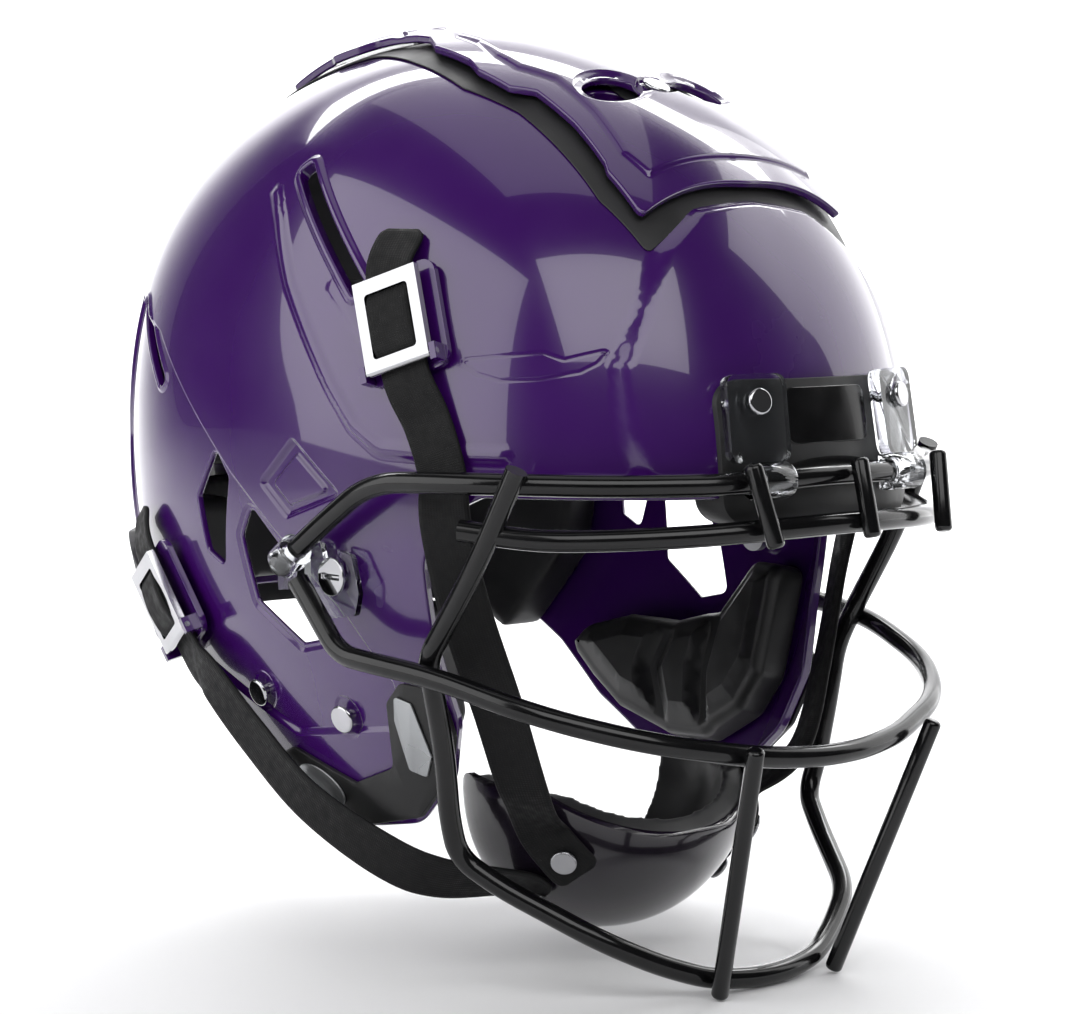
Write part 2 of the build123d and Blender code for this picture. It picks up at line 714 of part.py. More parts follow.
def make_pads():
    """Liner cushions: closed blocks that follow the inside of the shell."""
    layer = liner(PAD_DEEP)
    screw_room = [rod(seat(in_front(x, 20)), 4, -THROUGH, THROUGH) for x in (-BROW_CLIP_X, BROW_CLIP_X)]
    screw_room += [rod(plane, 3.2, -THROUGH, THROUGH) for plane in screw_planes()]
    screw_room += [rod(seat(on_top(x, y)), 6, -THROUGH, THROUGH) for x, y in CROWN_SCREWS]
    valve_room = rod(seat(on_top(*VALVE_SPOT)), VALVE_HOLE + 0.3, -THROUGH, THROUGH)
    front = (layer & region(-62, 62, -160, -66, 6, 66)).solid()
    crown = (layer & region(-62, 62, -64, 84, 68, 160)).solid()
    back = (layer & region(-70, 70, 86, 170, -14, 110)).solid()
    side = (layer & slab(SIDE_PAD, 66, 120, 3)).solid()
    nape = layer & slab(NAPE_PAD, -120, 120, 3)
    jaw = (layer & slab(JAW_PAD, 50, 120, 5)).solid()
    pads = {
        "front_pad": cut_all(front, screw_room),
        "crown_pad": cut_all(crown, screw_room),
        "back_pad": cut_all(back, [valve_room]),
        "nape_pad": nape,
        "side_pad_left": side,
        "side_pad_right": mirror(side, about=Plane.YZ),
        "jaw_pad_left": cut_all(jaw, screw_room),
    }
    pads["jaw_pad_right"] = mirror(pads["jaw_pad_left"], about=Plane.YZ)
    return pads


# ---------------------------------------------------------------- jaw guards, badges and small parts

GUARD = [(30, -116), (12, -108), (-19, -118), (-40, -110), (-43, -86), (-51, -78), (-62, -79),
         (-68, -86), (-69, -96), (-63, -112), (-46, -128), (-22, -133.5), (8, -131)]
GUARD_HIGH = 2.4
BADGE_RISE = 0.9
OVAL_BADGE = (-1, -121)
HEX_BADGE = [(-48, -83), (-55, -85), (-59, -104), (-55, -112), (-48, -110), (-46, -92)]


def make_jaw_guard():
    band = dome(GUARD_HIGH) - dome(0.2)
    return (band & slab(GUARD, 60, 120, 4)).solid()


def make_badges():
    """Blank name badges on both jaw guards: an oval and a six-sided one."""
    band = dome(GUARD_HIGH + BADGE_RISE) - dome(GUARD_HIGH + 0.1)
    oval_plane = Plane(origin=(60, *OVAL_BADGE), x_dir=(0, 0.93, 0.36), z_dir=(1, 0, 0))
    oval = Solid.extrude((oval_plane * Ellipse(12, 6.5)).face(), Vector(60, 0, 0))
    plates = [(band & oval).solid(), (band & slab(HEX_BADGE, 60, 120, 1.5)).solid()]
    return Compound(plates + [mirror(plate, about=Plane.YZ) for plate in plates])


def make_screws():
    """Chrome dome-head screws of the jaws and the brow."""
    solids = []
    for plane in screw_planes():
        head = rod(plane, SCREW_HEAD, HEAD_LOW, HEAD_HIGH)
        shank = rod(plane, SCREW_SHANK, -WALL - 3, HEAD_LOW)
        solids.append((head + shank).solid())
    return Compound(solids)


def make_valve():
    """Rubber inflation valve at the back of the crown, with its needle hole."""
    plane = seat(on_top(*VALVE_SPOT))
    body = rod(plane, VALVE_HOLE, -WALL - 9, 0.6) + rod(plane, VALVE_HOLE + 2, 0.6, 1.8)
    return (body - rod(plane, NEEDLE_HOLE, -WALL - 6, 5)).solid()


def make_all():
    nodes = {"shell": make_shell()}
    nodes["crown_plate"] = make_crown_plate()
    nodes["crown_gasket"] = make_crown_gasket()
    nodes["crown_screws"] = make_crown_screws()
    nodes["front_bumper"] = make_front_bumper()
    nodes["rear_bumper"] = make_rear_bumper()
    nodes.update(make_mask())
    nodes["brow_clip_screws"] = make_brow_clip_screws()
    nodes["stud_nuts"] = make_stud_nuts()
    nodes["buckle_pins"] = make_buckle_pins()
    nodes["chin_cup"] = make_chin_cup()
    nodes["chin_pad"] = make_chin_pad()
    nodes["strap_snaps"] = make_strap_snaps()
    nodes.update(make_pads())
    nodes["jaw_badges"] = make_badges()
    nodes["shell_screws"] = make_screws()
    nodes["inflation_valve"] = make_valve()
    sided = {
        "brow_clip": make_brow_clip(),
        "side_clip": make_side_clip(),
        "side_stud": make_stud(),
        "upper_buckle": make_buckle(upper_plane()),
        "lower_buckle": make_buckle(lower_plane()),
        "upper_buckle_base": make_buckle_base(upper_plane()),
        "lower_buckle_base": make_buckle_base(lower_plane()),
        "upper_strap_wrap": make_strap_wrap(upper_plane()),
        "lower_strap_wrap": make_strap_wrap(lower_plane()),
        "upper_strap": webbing(upper_route()),
        "lower_strap": webbing(lower_route()),
        "jaw_guard": make_jaw_guard(),
    }
    for name, solid in sided.items():
        nodes[name + "_left"] = solid
        nodes[name + "_right"] = mirror(solid, about=Plane.YZ)
    return nodes


if __name__ == "__main__":
    os.makedirs("parts", exist_ok=True)
    to_stand = Pos(0, -MIDDLE_Y, -LOWEST_Z)
    for name, shape in make_all().items():
        export_step(to_stand * shape, f"parts/{name}.step")
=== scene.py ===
import json
import math

import bpy
import numpy as np
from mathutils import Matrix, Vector
from mathutils.geometry import delaunay_2d_cdt


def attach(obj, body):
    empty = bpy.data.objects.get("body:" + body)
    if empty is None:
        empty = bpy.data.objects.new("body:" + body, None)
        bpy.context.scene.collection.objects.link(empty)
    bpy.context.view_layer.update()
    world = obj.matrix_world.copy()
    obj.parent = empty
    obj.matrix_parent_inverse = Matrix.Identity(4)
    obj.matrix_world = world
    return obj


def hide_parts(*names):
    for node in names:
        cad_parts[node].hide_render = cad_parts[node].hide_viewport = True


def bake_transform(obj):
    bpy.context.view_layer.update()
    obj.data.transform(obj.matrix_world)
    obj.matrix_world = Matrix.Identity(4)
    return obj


# Football helmet. Lengths are worked out in millimetres about the middle of the head
# (+X the wearer's left, -Y forward, +Z up) and moved to the row frame in metres.
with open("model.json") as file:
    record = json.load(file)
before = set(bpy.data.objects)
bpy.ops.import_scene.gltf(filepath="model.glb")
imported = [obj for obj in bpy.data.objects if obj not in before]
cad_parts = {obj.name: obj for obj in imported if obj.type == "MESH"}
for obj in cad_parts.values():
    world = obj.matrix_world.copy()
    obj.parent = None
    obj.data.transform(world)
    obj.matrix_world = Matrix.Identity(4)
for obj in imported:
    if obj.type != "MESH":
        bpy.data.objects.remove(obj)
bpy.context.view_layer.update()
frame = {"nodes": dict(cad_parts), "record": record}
SHIFT = np.array((0.0, 10.43, 188.13))
CENTRE = np.array((0.0, 8.0, 2.5))
HALF_WIDTH = 115.0
# distance from the centre to the side outline, every 30 degrees from straight ahead over the crown
PROFILE = (162, 155.5, 146.5, 148, 152, 154, 150, 160, 182, 205, 200, 178)
WALL = 4.2
# millimetres of flat chart to the radian, measured from the left side's pole, and the middle plane's radius
CHART = 130.0
EDGE = CHART * math.pi / 2
SURFACE_STEP = 0.2
RELIEF_STEP = 0.15
SEAM_STEP = 2.2
GUIDE_GAP = 0.35
GRID_GAP = 0.5
STRAP_WIDTH = 19.0
STRAP_THICK = 1.6
FOLD_WIDTH = 17.2
FOLD_THICK = 2.0
CUP_RISE = 2.8
PAD_BACK = -5.2
PAD_FRONT = -18.0


def metres(points):
    return (np.asarray(points, float) + SHIFT) / 1000


# ------------------------------------------------------------------ the helmet's surface


def profile_radius(angle):
    total = 0
    for index, radius in enumerate(PROFILE):
        turn = (angle - index * math.pi / 6 + math.pi) % (2 * math.pi) - math.pi
        turn = np.where(np.abs(turn) < 1e-7, 1e-7, turn)
        total = total + radius * np.sin(6 * turn) / (12 * np.tan(turn / 2))
    return total


def scaled(points):
    part = np.clip((-20 - points[:, 2]) / 90, 0, 1)
    side = np.abs(points[:, 0]) / (1 - 0.055 * part * part * (3 - 2 * part))
    back = points[:, 1] - CENTRE[1]
    rise = points[:, 2] - CENTRE[2]
    return side, back, rise, np.sqrt(side * side + back * back + rise * rise)


def excess(points):
    side, back, rise, length = scaled(points)
    angle = np.arctan2(rise, -back)
    lean = np.cos(angle)
    power = 2.4 + (np.where(lean > 0, 2.45, 2.7) - 2.4) * lean * lean
    reach = np.hypot(back, rise)
    across = (side / length / HALF_WIDTH) ** power
    along = (reach / length / profile_radius(angle)) ** power
    return length - (across + along) ** (-1 / power)


def slope(points):
    h = 0.5
    columns = []
    for axis in range(3):
        step = np.zeros(3)
        step[axis] = h
        columns.append((excess(points + step) - excess(points - step)) / (2 * h))
    return np.stack(columns, 1)


def unit(vectors):
    vectors = np.asarray(vectors, float)
    return vectors / np.maximum(np.linalg.norm(vectors, axis=-1, keepdims=True), 1e-12)


def directions(uv):
    """Directions from the centre for points of the left half's flat chart."""
    theta = np.hypot(uv[:, 0], uv[:, 1]) / CHART
    phi = np.arctan2(uv[:, 1], uv[:, 0])
    x = np.cos(theta)
    x = np.where(np.abs(x) < 1e-9, 0, x)
    return np.stack([x, -np.sin(theta) * np.cos(phi), np.sin(theta) * np.sin(phi)], 1)


def base_points(uv):
    way = directions(uv)
    reach = np.full(len(uv), 140.0)
    for _ in range(9):
        points = CENTRE + way * reach[:, None]
        reach = reach - excess(points) * reach / scaled(points)[3]
    points = CENTRE + way * reach[:, None]
    normals = unit(slope(points))
    middle = np.abs(points[:, 0]) < 1e-6
    normals[middle, 0] = 0
    return points, unit(normals)


def lift(uv, height):
    points, normals = base_points(uv)
    return points + normals * np.reshape(height, (-1, 1))


def to_chart(points):
    way = unit(np.asarray(points, float) - CENTRE)
    theta = np.arccos(np.clip(way[:, 0], -1, 1))
    phi = np.arctan2(way[:, 2], -way[:, 1])
    return CHART * theta[:, None] * np.stack([np.cos(phi), np.sin(phi)], 1)


def solve(points, axis, sign, offset=0.0):
    """Points moved along an axis until they lie at a height over the surface."""
    points = np.array(points, float)
    start = CENTRE[axis] if axis else 0.0
    low = np.zeros(len(points))
    high = np.full(len(points), 260.0)
    for _ in range(30):
        middle = (low + high) / 2
        points[:, axis] = start + sign * middle
        outside = excess(points) > offset
        high = np.where(outside, middle, high)
        low = np.where(outside, low, middle)
    return points


def beside(pairs, offset=0.0):
    return solve([(1, y, z) for y, z in pairs], 0, 1, offset)


def in_front(pairs, offset=0.0):
    return solve([(x, 0, z) for x, z in pairs], 1, -1, offset)


def behind(pairs, offset=0.0):
    return solve([(x, 0, z) for x, z in pairs], 1, 1, offset)


def on_top(pairs, offset=0.0):
    return solve([(x, y, 0) for x, y in pairs], 2, 1, offset)


# ------------------------------------------------------------------ flat outlines


def rounded(corners, radius, step=2.0, close=True):
    """Dense outline through corners, each turned with a radius."""
    corners = [np.array(c, float) for c in corners]
    count = len(corners)
    radii = radius if isinstance(radius, (list, tuple)) else [radius] * count
    path = []
    for i in range(count):
        here = corners[i]
        if not close and i in (0, count - 1):
            path.append(here)
            continue
        before = corners[i - 1] - here
        after = corners[(i + 1) % count] - here
        a, b = np.linalg.norm(before), np.linalg.norm(after)
        before, after = before / a, after / b
        half = math.acos(max(-1, min(1, before @ after))) / 2
        reach = min(radii[i] / math.tan(half) if half > 1e-3 else 0, 0.48 * a, 0.48 * b)
        if reach < 0.05 or half > 1.55:
            path.append(here)
            continue
        pieces = 6
        start, end = here + before * reach, here + after * reach
        for k in range(pieces + 1):
            t = k / pieces
            path.append((1 - t) ** 2 * start + 2 * t * (1 - t) * here + t * t * end)
    return resample(path, step, close)


def resample(path, step, close=True):
    path = np.array(path, float)
    if close:
        path = np.vstack([path, path[:1]])
    out = []
    for a, b in zip(path[:-1], path[1:]):
        parts = max(1, int(round(np.linalg.norm(b - a) / step)))
        for k in range(parts):
            out.append(a + (b - a) * k / parts)
    if not close:
        out.append(path[-1])
    return np.array(out)


def area_of(loop):
    x, y = loop[:, 0], loop[:, 1]
    return 0.5 * np.sum(x * np.roll(y, -1) - np.roll(x, -1) * y)


def inside(points, loop):
    x, y = points[:, 0][:, None], points[:, 1][:, None]
    x0, y0 = loop[:, 0][None], loop[:, 1][None]
    x1, y1 = np.roll(loop[:, 0], -1)[None], np.roll(loop[:, 1], -1)[None]
    crosses = ((y0 > y) != (y1 > y)) & (x < (x1 - x0) * (y - y0) / (y1 - y0 + 1e-15) + x0)
    return crosses.sum(1) % 2 == 1


def distance(points, line, close):
    """Distance of points from a line of segments."""
    a = line if close else line[:-1]
    b = np.roll(line, -1, 0) if close else line[1:]
    best = np.full(len(points), 1e9)
    for start in range(0, len(points), 4000):
        p = points[start:start + 4000, None, :]
        run = (b - a)[None]
        t = np.clip(((p - a[None]) * run).sum(2) / np.maximum((run * run).sum(2), 1e-12), 0, 1)
        gap = p - (a[None] + run * t[..., None])
        best[start:start + 4000] = np.sqrt((gap * gap).sum(2).min(1))
    return best


def smooth(t):
    t = np.clip(t, 0, 1)
    return t * t * (3 - 2 * t)


class Relief:
    """Raised and sunk shapes on a skin, as a height at each point of the chart."""

    def __init__(self):
        self.items = []

    def area(self, loop, rise, width, soft=False):
        self.items.append(("area", np.asarray(loop), rise, width, soft))
        return self

    def line(self, line, rise, half):
        self.items.append(("line", np.asarray(line), rise, half, True))
        return self

    def height(self, uv):
        total = np.zeros(len(uv))
        for kind, shape, rise, width, soft in self.items:
            low, high = shape.min(0) - width - 1, shape.max(0) + width + 1
            near = ((uv > low) & (uv < high)).all(1)
            if not near.any():
                continue
            points = uv[near]
            if kind == "area":
                part = np.where(inside(points, shape), distance(points, shape, True) / width, 0)
                part = smooth(part) if soft else np.clip(part, 0, 1)
            else:
                part = 1 - smooth(distance(points, shape, False) / width)
            total[near] += rise * part
        return total

    def guides(self, step):
        """Rows of points along each shape, so that the mesh follows its edges."""
        rows = []
        for kind, shape, _, width, _ in self.items:
            close = kind == "area"
            line = resample(shape, step, close)
            run = np.roll(line, -1, 0) - np.roll(line, 1, 0)
            if not close:
                run[0], run[-1] = line[1] - line[0], line[-1] - line[-2]
            across = unit(np.stack([-run[:, 1], run[:, 0]], 1))
            if close and area_of(line) < 0:
                across = -across
            if kind == "area":
                middle = (width / 2,) if width > 1.2 else ()
                offsets = (-0.3, 0, *middle, width, width + 0.3)
            else:
                middle = (-width / 2, 0, width / 2) if width > 1.5 else (0,)
                offsets = (-width - 0.3, -width, *middle, width, width + 0.3)
            for offset in offsets:
                rows.append((line + across * offset, close))
        return rows


# ------------------------------------------------------------------ thick pieces on the surface


def apart(points, taken, gap):
    """Drops points that lie near ones already taken."""
    seen = {(int(math.floor(x / gap)), int(math.floor(y / gap))) for x, y in taken}
    kept = []
    for index, (x, y) in enumerate(points):
        key = (int(math.floor(x / gap)), int(math.floor(y / gap)))
        if not any((key[0] + i, key[1] + j) in seen for i in (-1, 0, 1) for j in (-1, 0, 1)):
            kept.append(index)
    return points[kept]


def outward(loop):
    run = np.roll(loop, -1, 0) - np.roll(loop, 1, 0)
    return unit(np.stack([run[:, 1], -run[:, 0]], 1))


def make_mesh(name, verts, faces, normals=None, slot=None):
    mesh = bpy.data.meshes.new(name)
    mesh.from_pydata([tuple(v) for v in verts], [], faces)
    mesh.validate()
    mesh.shade_smooth()
    if normals is not None:
        mesh.normals_split_custom_set_from_vertices([tuple(n) for n in normals])
    piece = bpy.data.objects.new(name, mesh)
    bpy.context.scene.collection.objects.link(piece)
    if slot:
        paint(piece, slot)
    return piece


def trimmed_rim(loop, half, inset):
    """A loop drawn in by the bevel, with its outward ways and the points on the middle plane."""
    on_seam = np.abs(np.hypot(loop[:, 0], loop[:, 1]) - EDGE) < 1e-6
    away = outward(loop)
    inner_seam = np.zeros(len(loop), bool)
    if half:
        radial = unit(loop)
        pull = (away * radial).sum(1, keepdims=True) * radial
        away = np.where(on_seam[:, None], unit(away - pull), away)
        inner_seam = on_seam & np.roll(on_seam, 1) & np.roll(on_seam, -1)
    step = away * SURFACE_STEP
    scale = np.linalg.norm(lift(loop + step, 0) - lift(loop - step, 0), axis=1) / (2 * SURFACE_STEP)
    shift = np.where(inner_seam, 0, inset / np.maximum(scale, 0.2))
    moved = loop - away * shift[:, None]
    if half:
        moved = np.where(on_seam[:, None], unit(moved) * EDGE, moved)
    return moved, away, on_seam


def within(points, loops):
    """Whether points lie inside the first loop and outside the others."""
    keep = inside(points, loops[0])
    for hole in loops[1:]:
        keep &= ~inside(points, hole)
    return keep


def clear_of(points, loops, gap):
    keep = within(points, loops)
    for loop in loops:
        keep &= distance(points, loop, True) > gap
    return keep


def triangulate(loops, guides, spacing):
    """Flat triangles that follow loops and guide rows, and where each loop point went."""
    boundary = np.vstack(loops)
    edges, start = [], 0
    for loop in loops:
        edges += [(start + i, start + (i + 1) % len(loop)) for i in range(len(loop))]
        start += len(loop)
    lows, highs = loops[0].min(0), loops[0].max(0)
    us, vs = np.meshgrid(np.arange(lows[0], highs[0], spacing),
                         np.arange(lows[1], highs[1], spacing * 0.87))
    us = us + (np.arange(us.shape[0]) % 2)[:, None] * spacing / 2
    grid = np.stack([us.ravel(), vs.ravel()], 1)
    rows = [np.zeros((0, 2))]
    total = len(boundary)
    for row, close in guides:
        good = clear_of(row, loops, GUIDE_GAP)
        ids = np.cumsum(good) - 1 + total
        for i in range(len(row) if close else len(row) - 1):
            j = (i + 1) % len(row)
            if good[i] and good[j]:
                edges.append((int(ids[i]), int(ids[j])))
        rows.append(row[good])
        total += int(good.sum())
    rows = np.vstack(rows)
    grid = grid[clear_of(grid, loops, GRID_GAP)]
    if len(rows):
        grid = apart(grid, rows, 0.7)
    cloud = np.vstack([boundary, rows, grid])
    result = delaunay_2d_cdt([Vector(p) for p in cloud], edges, [], 0, 1e-5, True)
    flat = np.array([tuple(p) for p in result[0]])
    tris = np.array([f for f in result[2] if len(f) == 3])
    tris = tris[within(flat[tris].mean(1), loops)]
    place = {old: new for new, olds in enumerate(result[3]) for old in olds}
    a, b, c = (flat[tris[:, k]] for k in range(3))
    turned = np.cross(b - a, c - a) < 0
    tris[turned] = tris[turned][:, ::-1]
    return flat, tris, place


def skin(flat, sheet, up, relief, level, sign):
    """Points, normals and heights of a panel's outer or inner face."""

    def height(uv):
        return level + sign * relief.height(uv)

    heights = height(flat)
    points = sheet + up * heights[:, None]
    if not relief.items:
        return points, up.copy(), heights
    parts = []
    for way in ((RELIEF_STEP, 0), (0, RELIEF_STEP)):
        ahead, back = flat + way, flat - np.array(way)
        parts.append(lift(ahead, height(ahead)) - lift(back, height(back)))
    normal = unit(np.cross(parts[0], parts[1]))
    normal = np.where(((normal * up).sum(1) < 0)[:, None], -normal, normal)
    return points, normal, heights


def rim_profile(inset, bevel, inner_bevel, segments):
    """Rounds from the outer face to the inner: way out, which face's height, rise and tilt."""
    profile = []
    for k in range(1, segments + 1):
        a = math.pi / 2 * k / segments
        profile.append((inset - bevel + bevel * math.sin(a), "high", -bevel * (1 - math.cos(a)), a))
    for k in range(segments):
        a = math.pi / 2 * (1 - k / segments)
        out = inset - inner_bevel + inner_bevel * math.sin(a)
        profile.append((out, "low", inner_bevel * (1 - math.cos(a)), math.pi - a))
    return profile


def quads_outward(faces, verts, normals):
    """Faces with the rim's quads turned so that they face outward."""
    score = 0
    for f in [f for f in faces if len(f) == 4][:400]:
        a, b, c = verts[f[0]], verts[f[1]], verts[f[2]]
        score += np.dot(np.cross(b - a, c - a), normals[f[1]])
    return [f if len(f) == 3 else f[::-1] for f in faces] if score < 0 else faces


def with_mirror_image(verts, normals, faces, seam):
    """A left half joined to its mirror image along the middle plane."""
    seam_list = sorted(int(i) for i in seam)
    verts[seam_list, 0] = 0
    normals[seam_list, 0] = 0
    normals = unit(normals)
    other = {}
    extra_v, extra_n = [], []
    for i in range(len(verts)):
        if i in seam:
            other[i] = i
        else:
            other[i] = len(verts) + len(extra_v)
            extra_v.append(verts[i] * (-1, 1, 1))
            extra_n.append(normals[i] * (-1, 1, 1))
    faces = faces + [tuple(other[i] for i in f[::-1]) for f in faces]
    return np.vstack([verts, extra_v]), np.vstack([normals, extra_n]), faces


def panel(name, outline, holes, low, high, bevel, slot, outer=None, inner=None, spacing=3.0,
          half=False, mirror=False, inner_bevel=None, segments=4):
    """Thick piece that follows the surface. With half, the outline ends on the middle plane
    and the piece is completed by its mirror image. With mirror, the right piece is made."""
    outer = outer or Relief()
    inner = inner or Relief()
    inner_bevel = bevel if inner_bevel is None else inner_bevel
    inset = max(bevel, inner_bevel)
    loops = [outline if area_of(outline) > 0 else outline[::-1]]
    loops += [hole if area_of(hole) < 0 else hole[::-1] for hole in holes]
    rims = [trimmed_rim(loop, half, inset) for loop in loops]
    guides = outer.guides(1.6) + inner.guides(2.0)
    flat, tris, place = triangulate([rim[0] for rim in rims], guides, spacing)
    sheet, up = base_points(flat)
    top, top_normal, top_height = skin(flat, sheet, up, outer, high, 1)
    bottom, bottom_normal, bottom_height = skin(flat, sheet, up, inner, low, -1)
    # the chart's turning sense decides which way the outer triangles face
    a, b, c = (top[tris[:, k]] for k in range(3))
    if (np.cross(b - a, c - a) * up[tris[:, 0]]).sum(1).sum() < 0:
        tris = tris[:, ::-1]
    count = len(flat)
    verts, normals = [top, bottom], [top_normal, -bottom_normal]
    faces = [tuple(t) for t in tris] + [tuple(int(i) + count for i in t[::-1]) for t in tris]
    total, start = 2 * count, 0
    on_middle = np.nonzero(np.abs(np.hypot(flat[:, 0], flat[:, 1]) - EDGE) < 1e-5)[0] if half else []
    seam = set(on_middle) | {i + count for i in on_middle}
    for moved, away, on_seam in rims:
        size = len(moved)
        ids = [place[start + i] for i in range(size)]
        start += size
        base, normal = sheet[ids], up[ids]
        side = lift(moved + away * SURFACE_STEP, 0) - lift(moved - away * SURFACE_STEP, 0)
        side = unit(side - (side * normal).sum(1, keepdims=True) * normal)
        if half:
            side[on_seam, 0] = 0
            side = unit(side)
        levels = {"high": top_height[ids], "low": bottom_height[ids]}
        rings = [list(ids)]
        for out, level, rise, tilt in rim_profile(inset, bevel, inner_bevel, segments):
            verts.append(base + normal * (levels[level] + rise)[:, None] + side * out)
            normals.append(unit(normal * math.cos(tilt) + side * math.sin(tilt)))
            rings.append(list(range(total, total + size)))
            if half:
                seam |= {total + i for i in range(size) if on_seam[i]}
            total += size
        rings.append([i + count for i in ids])
        for first, second in zip(rings[:-1], rings[1:]):
            for i in range(size):
                j = (i + 1) % size
                if not (half and on_seam[i] and on_seam[j]):
                    faces.append((first[i], second[i], second[j], first[j]))
    verts, normals = np.vstack(verts), np.vstack(normals)
    faces = quads_outward(faces, verts, normals)
    if half:
        verts, normals, faces = with_mirror_image(verts, normals, faces, seam)
    faces = [tuple(int(i) for i in f) for f in faces]
    piece = make_mesh(name, metres(verts), faces, normals, slot)
    if not mirror:
        return piece
    right = make_mesh(name.replace("left", "right"), metres(verts * (-1, 1, 1)),
                      [f[::-1] for f in faces], normals * (-1, 1, 1), slot)
    return piece, right


# ------------------------------------------------------------------ materials


def node_material(name, color, rough, metallic=0.0, vary=0.25, rough_vary=0.25, scale=40.0,
                  bump=0.1, bump_scale=900.0, bump_mm=0.05, coat=0.0, transmission=0.0, ior=1.5,
                  specular=0.5, sheen=0.0):
    """Procedural finish: colour and roughness vary at one scale, and fine grain at another."""
    material = bpy.data.materials.new(name)
    material.use_nodes = True
    tree = material.node_tree
    nodes, links = tree.nodes, tree.links
    shader = nodes["Principled BSDF"]
    shader.inputs["Metallic"].default_value = metallic
    shader.inputs["IOR"].default_value = ior
    shader.inputs["Specular IOR Level"].default_value = specular
    shader.inputs["Coat Weight"].default_value = coat
    shader.inputs["Coat Roughness"].default_value = 0.03
    shader.inputs["Transmission Weight"].default_value = transmission
    shader.inputs["Sheen Weight"].default_value = sheen
    place = nodes.new("ShaderNodeTexCoord")
    broad = nodes.new("ShaderNodeTexNoise")
    broad.inputs["Scale"].default_value = scale
    broad.inputs["Detail"].default_value = 4
    links.new(place.outputs["Object"], broad.inputs["Vector"])
    ramp = nodes.new("ShaderNodeValToRGB")
    dark = [c * (1 - vary) for c in color]
    light = [min(1, c * (1 + vary)) for c in color]
    ramp.color_ramp.elements[0].position = 0.3
    ramp.color_ramp.elements[1].position = 0.7
    ramp.color_ramp.elements[0].color = (*dark, 1)
    ramp.color_ramp.elements[1].color = (*light, 1)
    links.new(broad.outputs["Fac"], ramp.inputs["Fac"])
    links.new(ramp.outputs["Color"], shader.inputs["Base Color"])
    spread = nodes.new("ShaderNodeMapRange")
    spread.inputs["From Min"].default_value = 0.3
    spread.inputs["From Max"].default_value = 0.7
    spread.inputs["To Min"].default_value = rough * (1 - rough_vary)
    spread.inputs["To Max"].default_value = rough * (1 + rough_vary)
    links.new(broad.outputs["Fac"], spread.inputs["Value"])
    links.new(spread.outputs["Result"], shader.inputs["Roughness"])
    grain = nodes.new("ShaderNodeTexNoise")
    grain.inputs["Scale"].default_value = bump_scale
    grain.inputs["Detail"].default_value = 3
    links.new(place.outputs["Object"], grain.inputs["Vector"])
    relief = nodes.new("ShaderNodeBump")
    relief.inputs["Strength"].default_value = bump
    relief.inputs["Distance"].default_value = bump_mm / 1000
    links.new(grain.outputs["Fac"], relief.inputs["Height"])
    links.new(relief.outputs["Normal"], shader.inputs["Normal"])
    return material


def webbing_material():
    """Black webbing: cross ribs and lengthways yarns, from the strap's own unrolled map in mm."""
    material = node_material("webbing", (0.005, 0.005, 0.0055), 0.6, vary=0.4, scale=300, specular=0.22)
    tree = material.node_tree
    nodes, links = tree.nodes, tree.links
    shader = nodes["Principled BSDF"]
    place = nodes.new("ShaderNodeTexCoord")
    waves = []
    for direction, scale in (("X", 0.42), ("Y", 0.3)):
        wave = nodes.new("ShaderNodeTexWave")
        wave.bands_direction = direction
        wave.inputs["Scale"].default_value = scale
        wave.inputs["Distortion"].default_value = 0.6
        wave.inputs["Detail Scale"].default_value = 2.0
        links.new(place.outputs["UV"], wave.inputs["Vector"])
        waves.append(wave)
    product = nodes.new("ShaderNodeMath")
    product.operation = "MULTIPLY"
    links.new(waves[0].outputs["Fac"], product.inputs[0])
    links.new(waves[1].outputs["Fac"], product.inputs[1])
    relief = nodes.new("ShaderNodeBump")
    relief.inputs["Strength"].default_value = 0.55
    relief.inputs["Distance"].default_value = 0.00025
    links.new(product.outputs["Value"], relief.inputs["Height"])
    links.new(relief.outputs["Normal"], shader.inputs["Normal"])
    return material


FINISH = {
    "shell_gloss": node_material("shell_gloss", (0.036, 0.0025, 0.098), 0.22, vary=0.05, scale=18, bump=0.02,
                                 bump_scale=260, bump_mm=0.02, coat=1.0, specular=0.4),
    "black_rubber": node_material("black_rubber", (0.011, 0.011, 0.012), 0.5, vary=0.3, bump=0.25,
                                  bump_scale=1400),
    "coated_wire": node_material("coated_wire", (0.004, 0.004, 0.0045), 0.16, vary=0.3, scale=90, bump=0.06,
                                 bump_scale=220, bump_mm=0.12, coat=0.15, specular=0.35),
    "clear_plastic": node_material("clear_plastic", (0.9, 0.92, 0.95), 0.06, vary=0.03, bump=0.1,
                                   bump_scale=500, transmission=1.0, ior=1.5),
    "chrome": node_material("chrome", (0.5, 0.5, 0.52), 0.07, metallic=1.0, vary=0.08, rough_vary=0.5,
                            bump=0.05, bump_scale=1600, bump_mm=0.02),
    "steel": node_material("steel", (0.45, 0.45, 0.47), 0.3, metallic=1.0, vary=0.12, bump=0.15,
                           bump_scale=2500),
    "cup_gloss": node_material("cup_gloss", (0.009, 0.006, 0.012), 0.16, vary=0.25, scale=25, bump=0.04,
                               bump_scale=400, coat=0.6),
    "pad_skin": node_material("pad_skin", (0.013, 0.013, 0.014), 0.42, vary=0.3, scale=60, bump=0.3,
                              bump_scale=2200, bump_mm=0.08, sheen=0.05),
    "webbing": webbing_material(),
    "guard_plastic": node_material("guard_plastic", (0.009, 0.009, 0.0095), 0.38, specular=0.35, vary=0.2,
                                   bump=0.2, bump_scale=1500),
    "badge": node_material("badge", (0.36, 0.37, 0.38), 0.3, metallic=0.85, vary=0.08, bump=0.12,
                           bump_scale=2500),
}


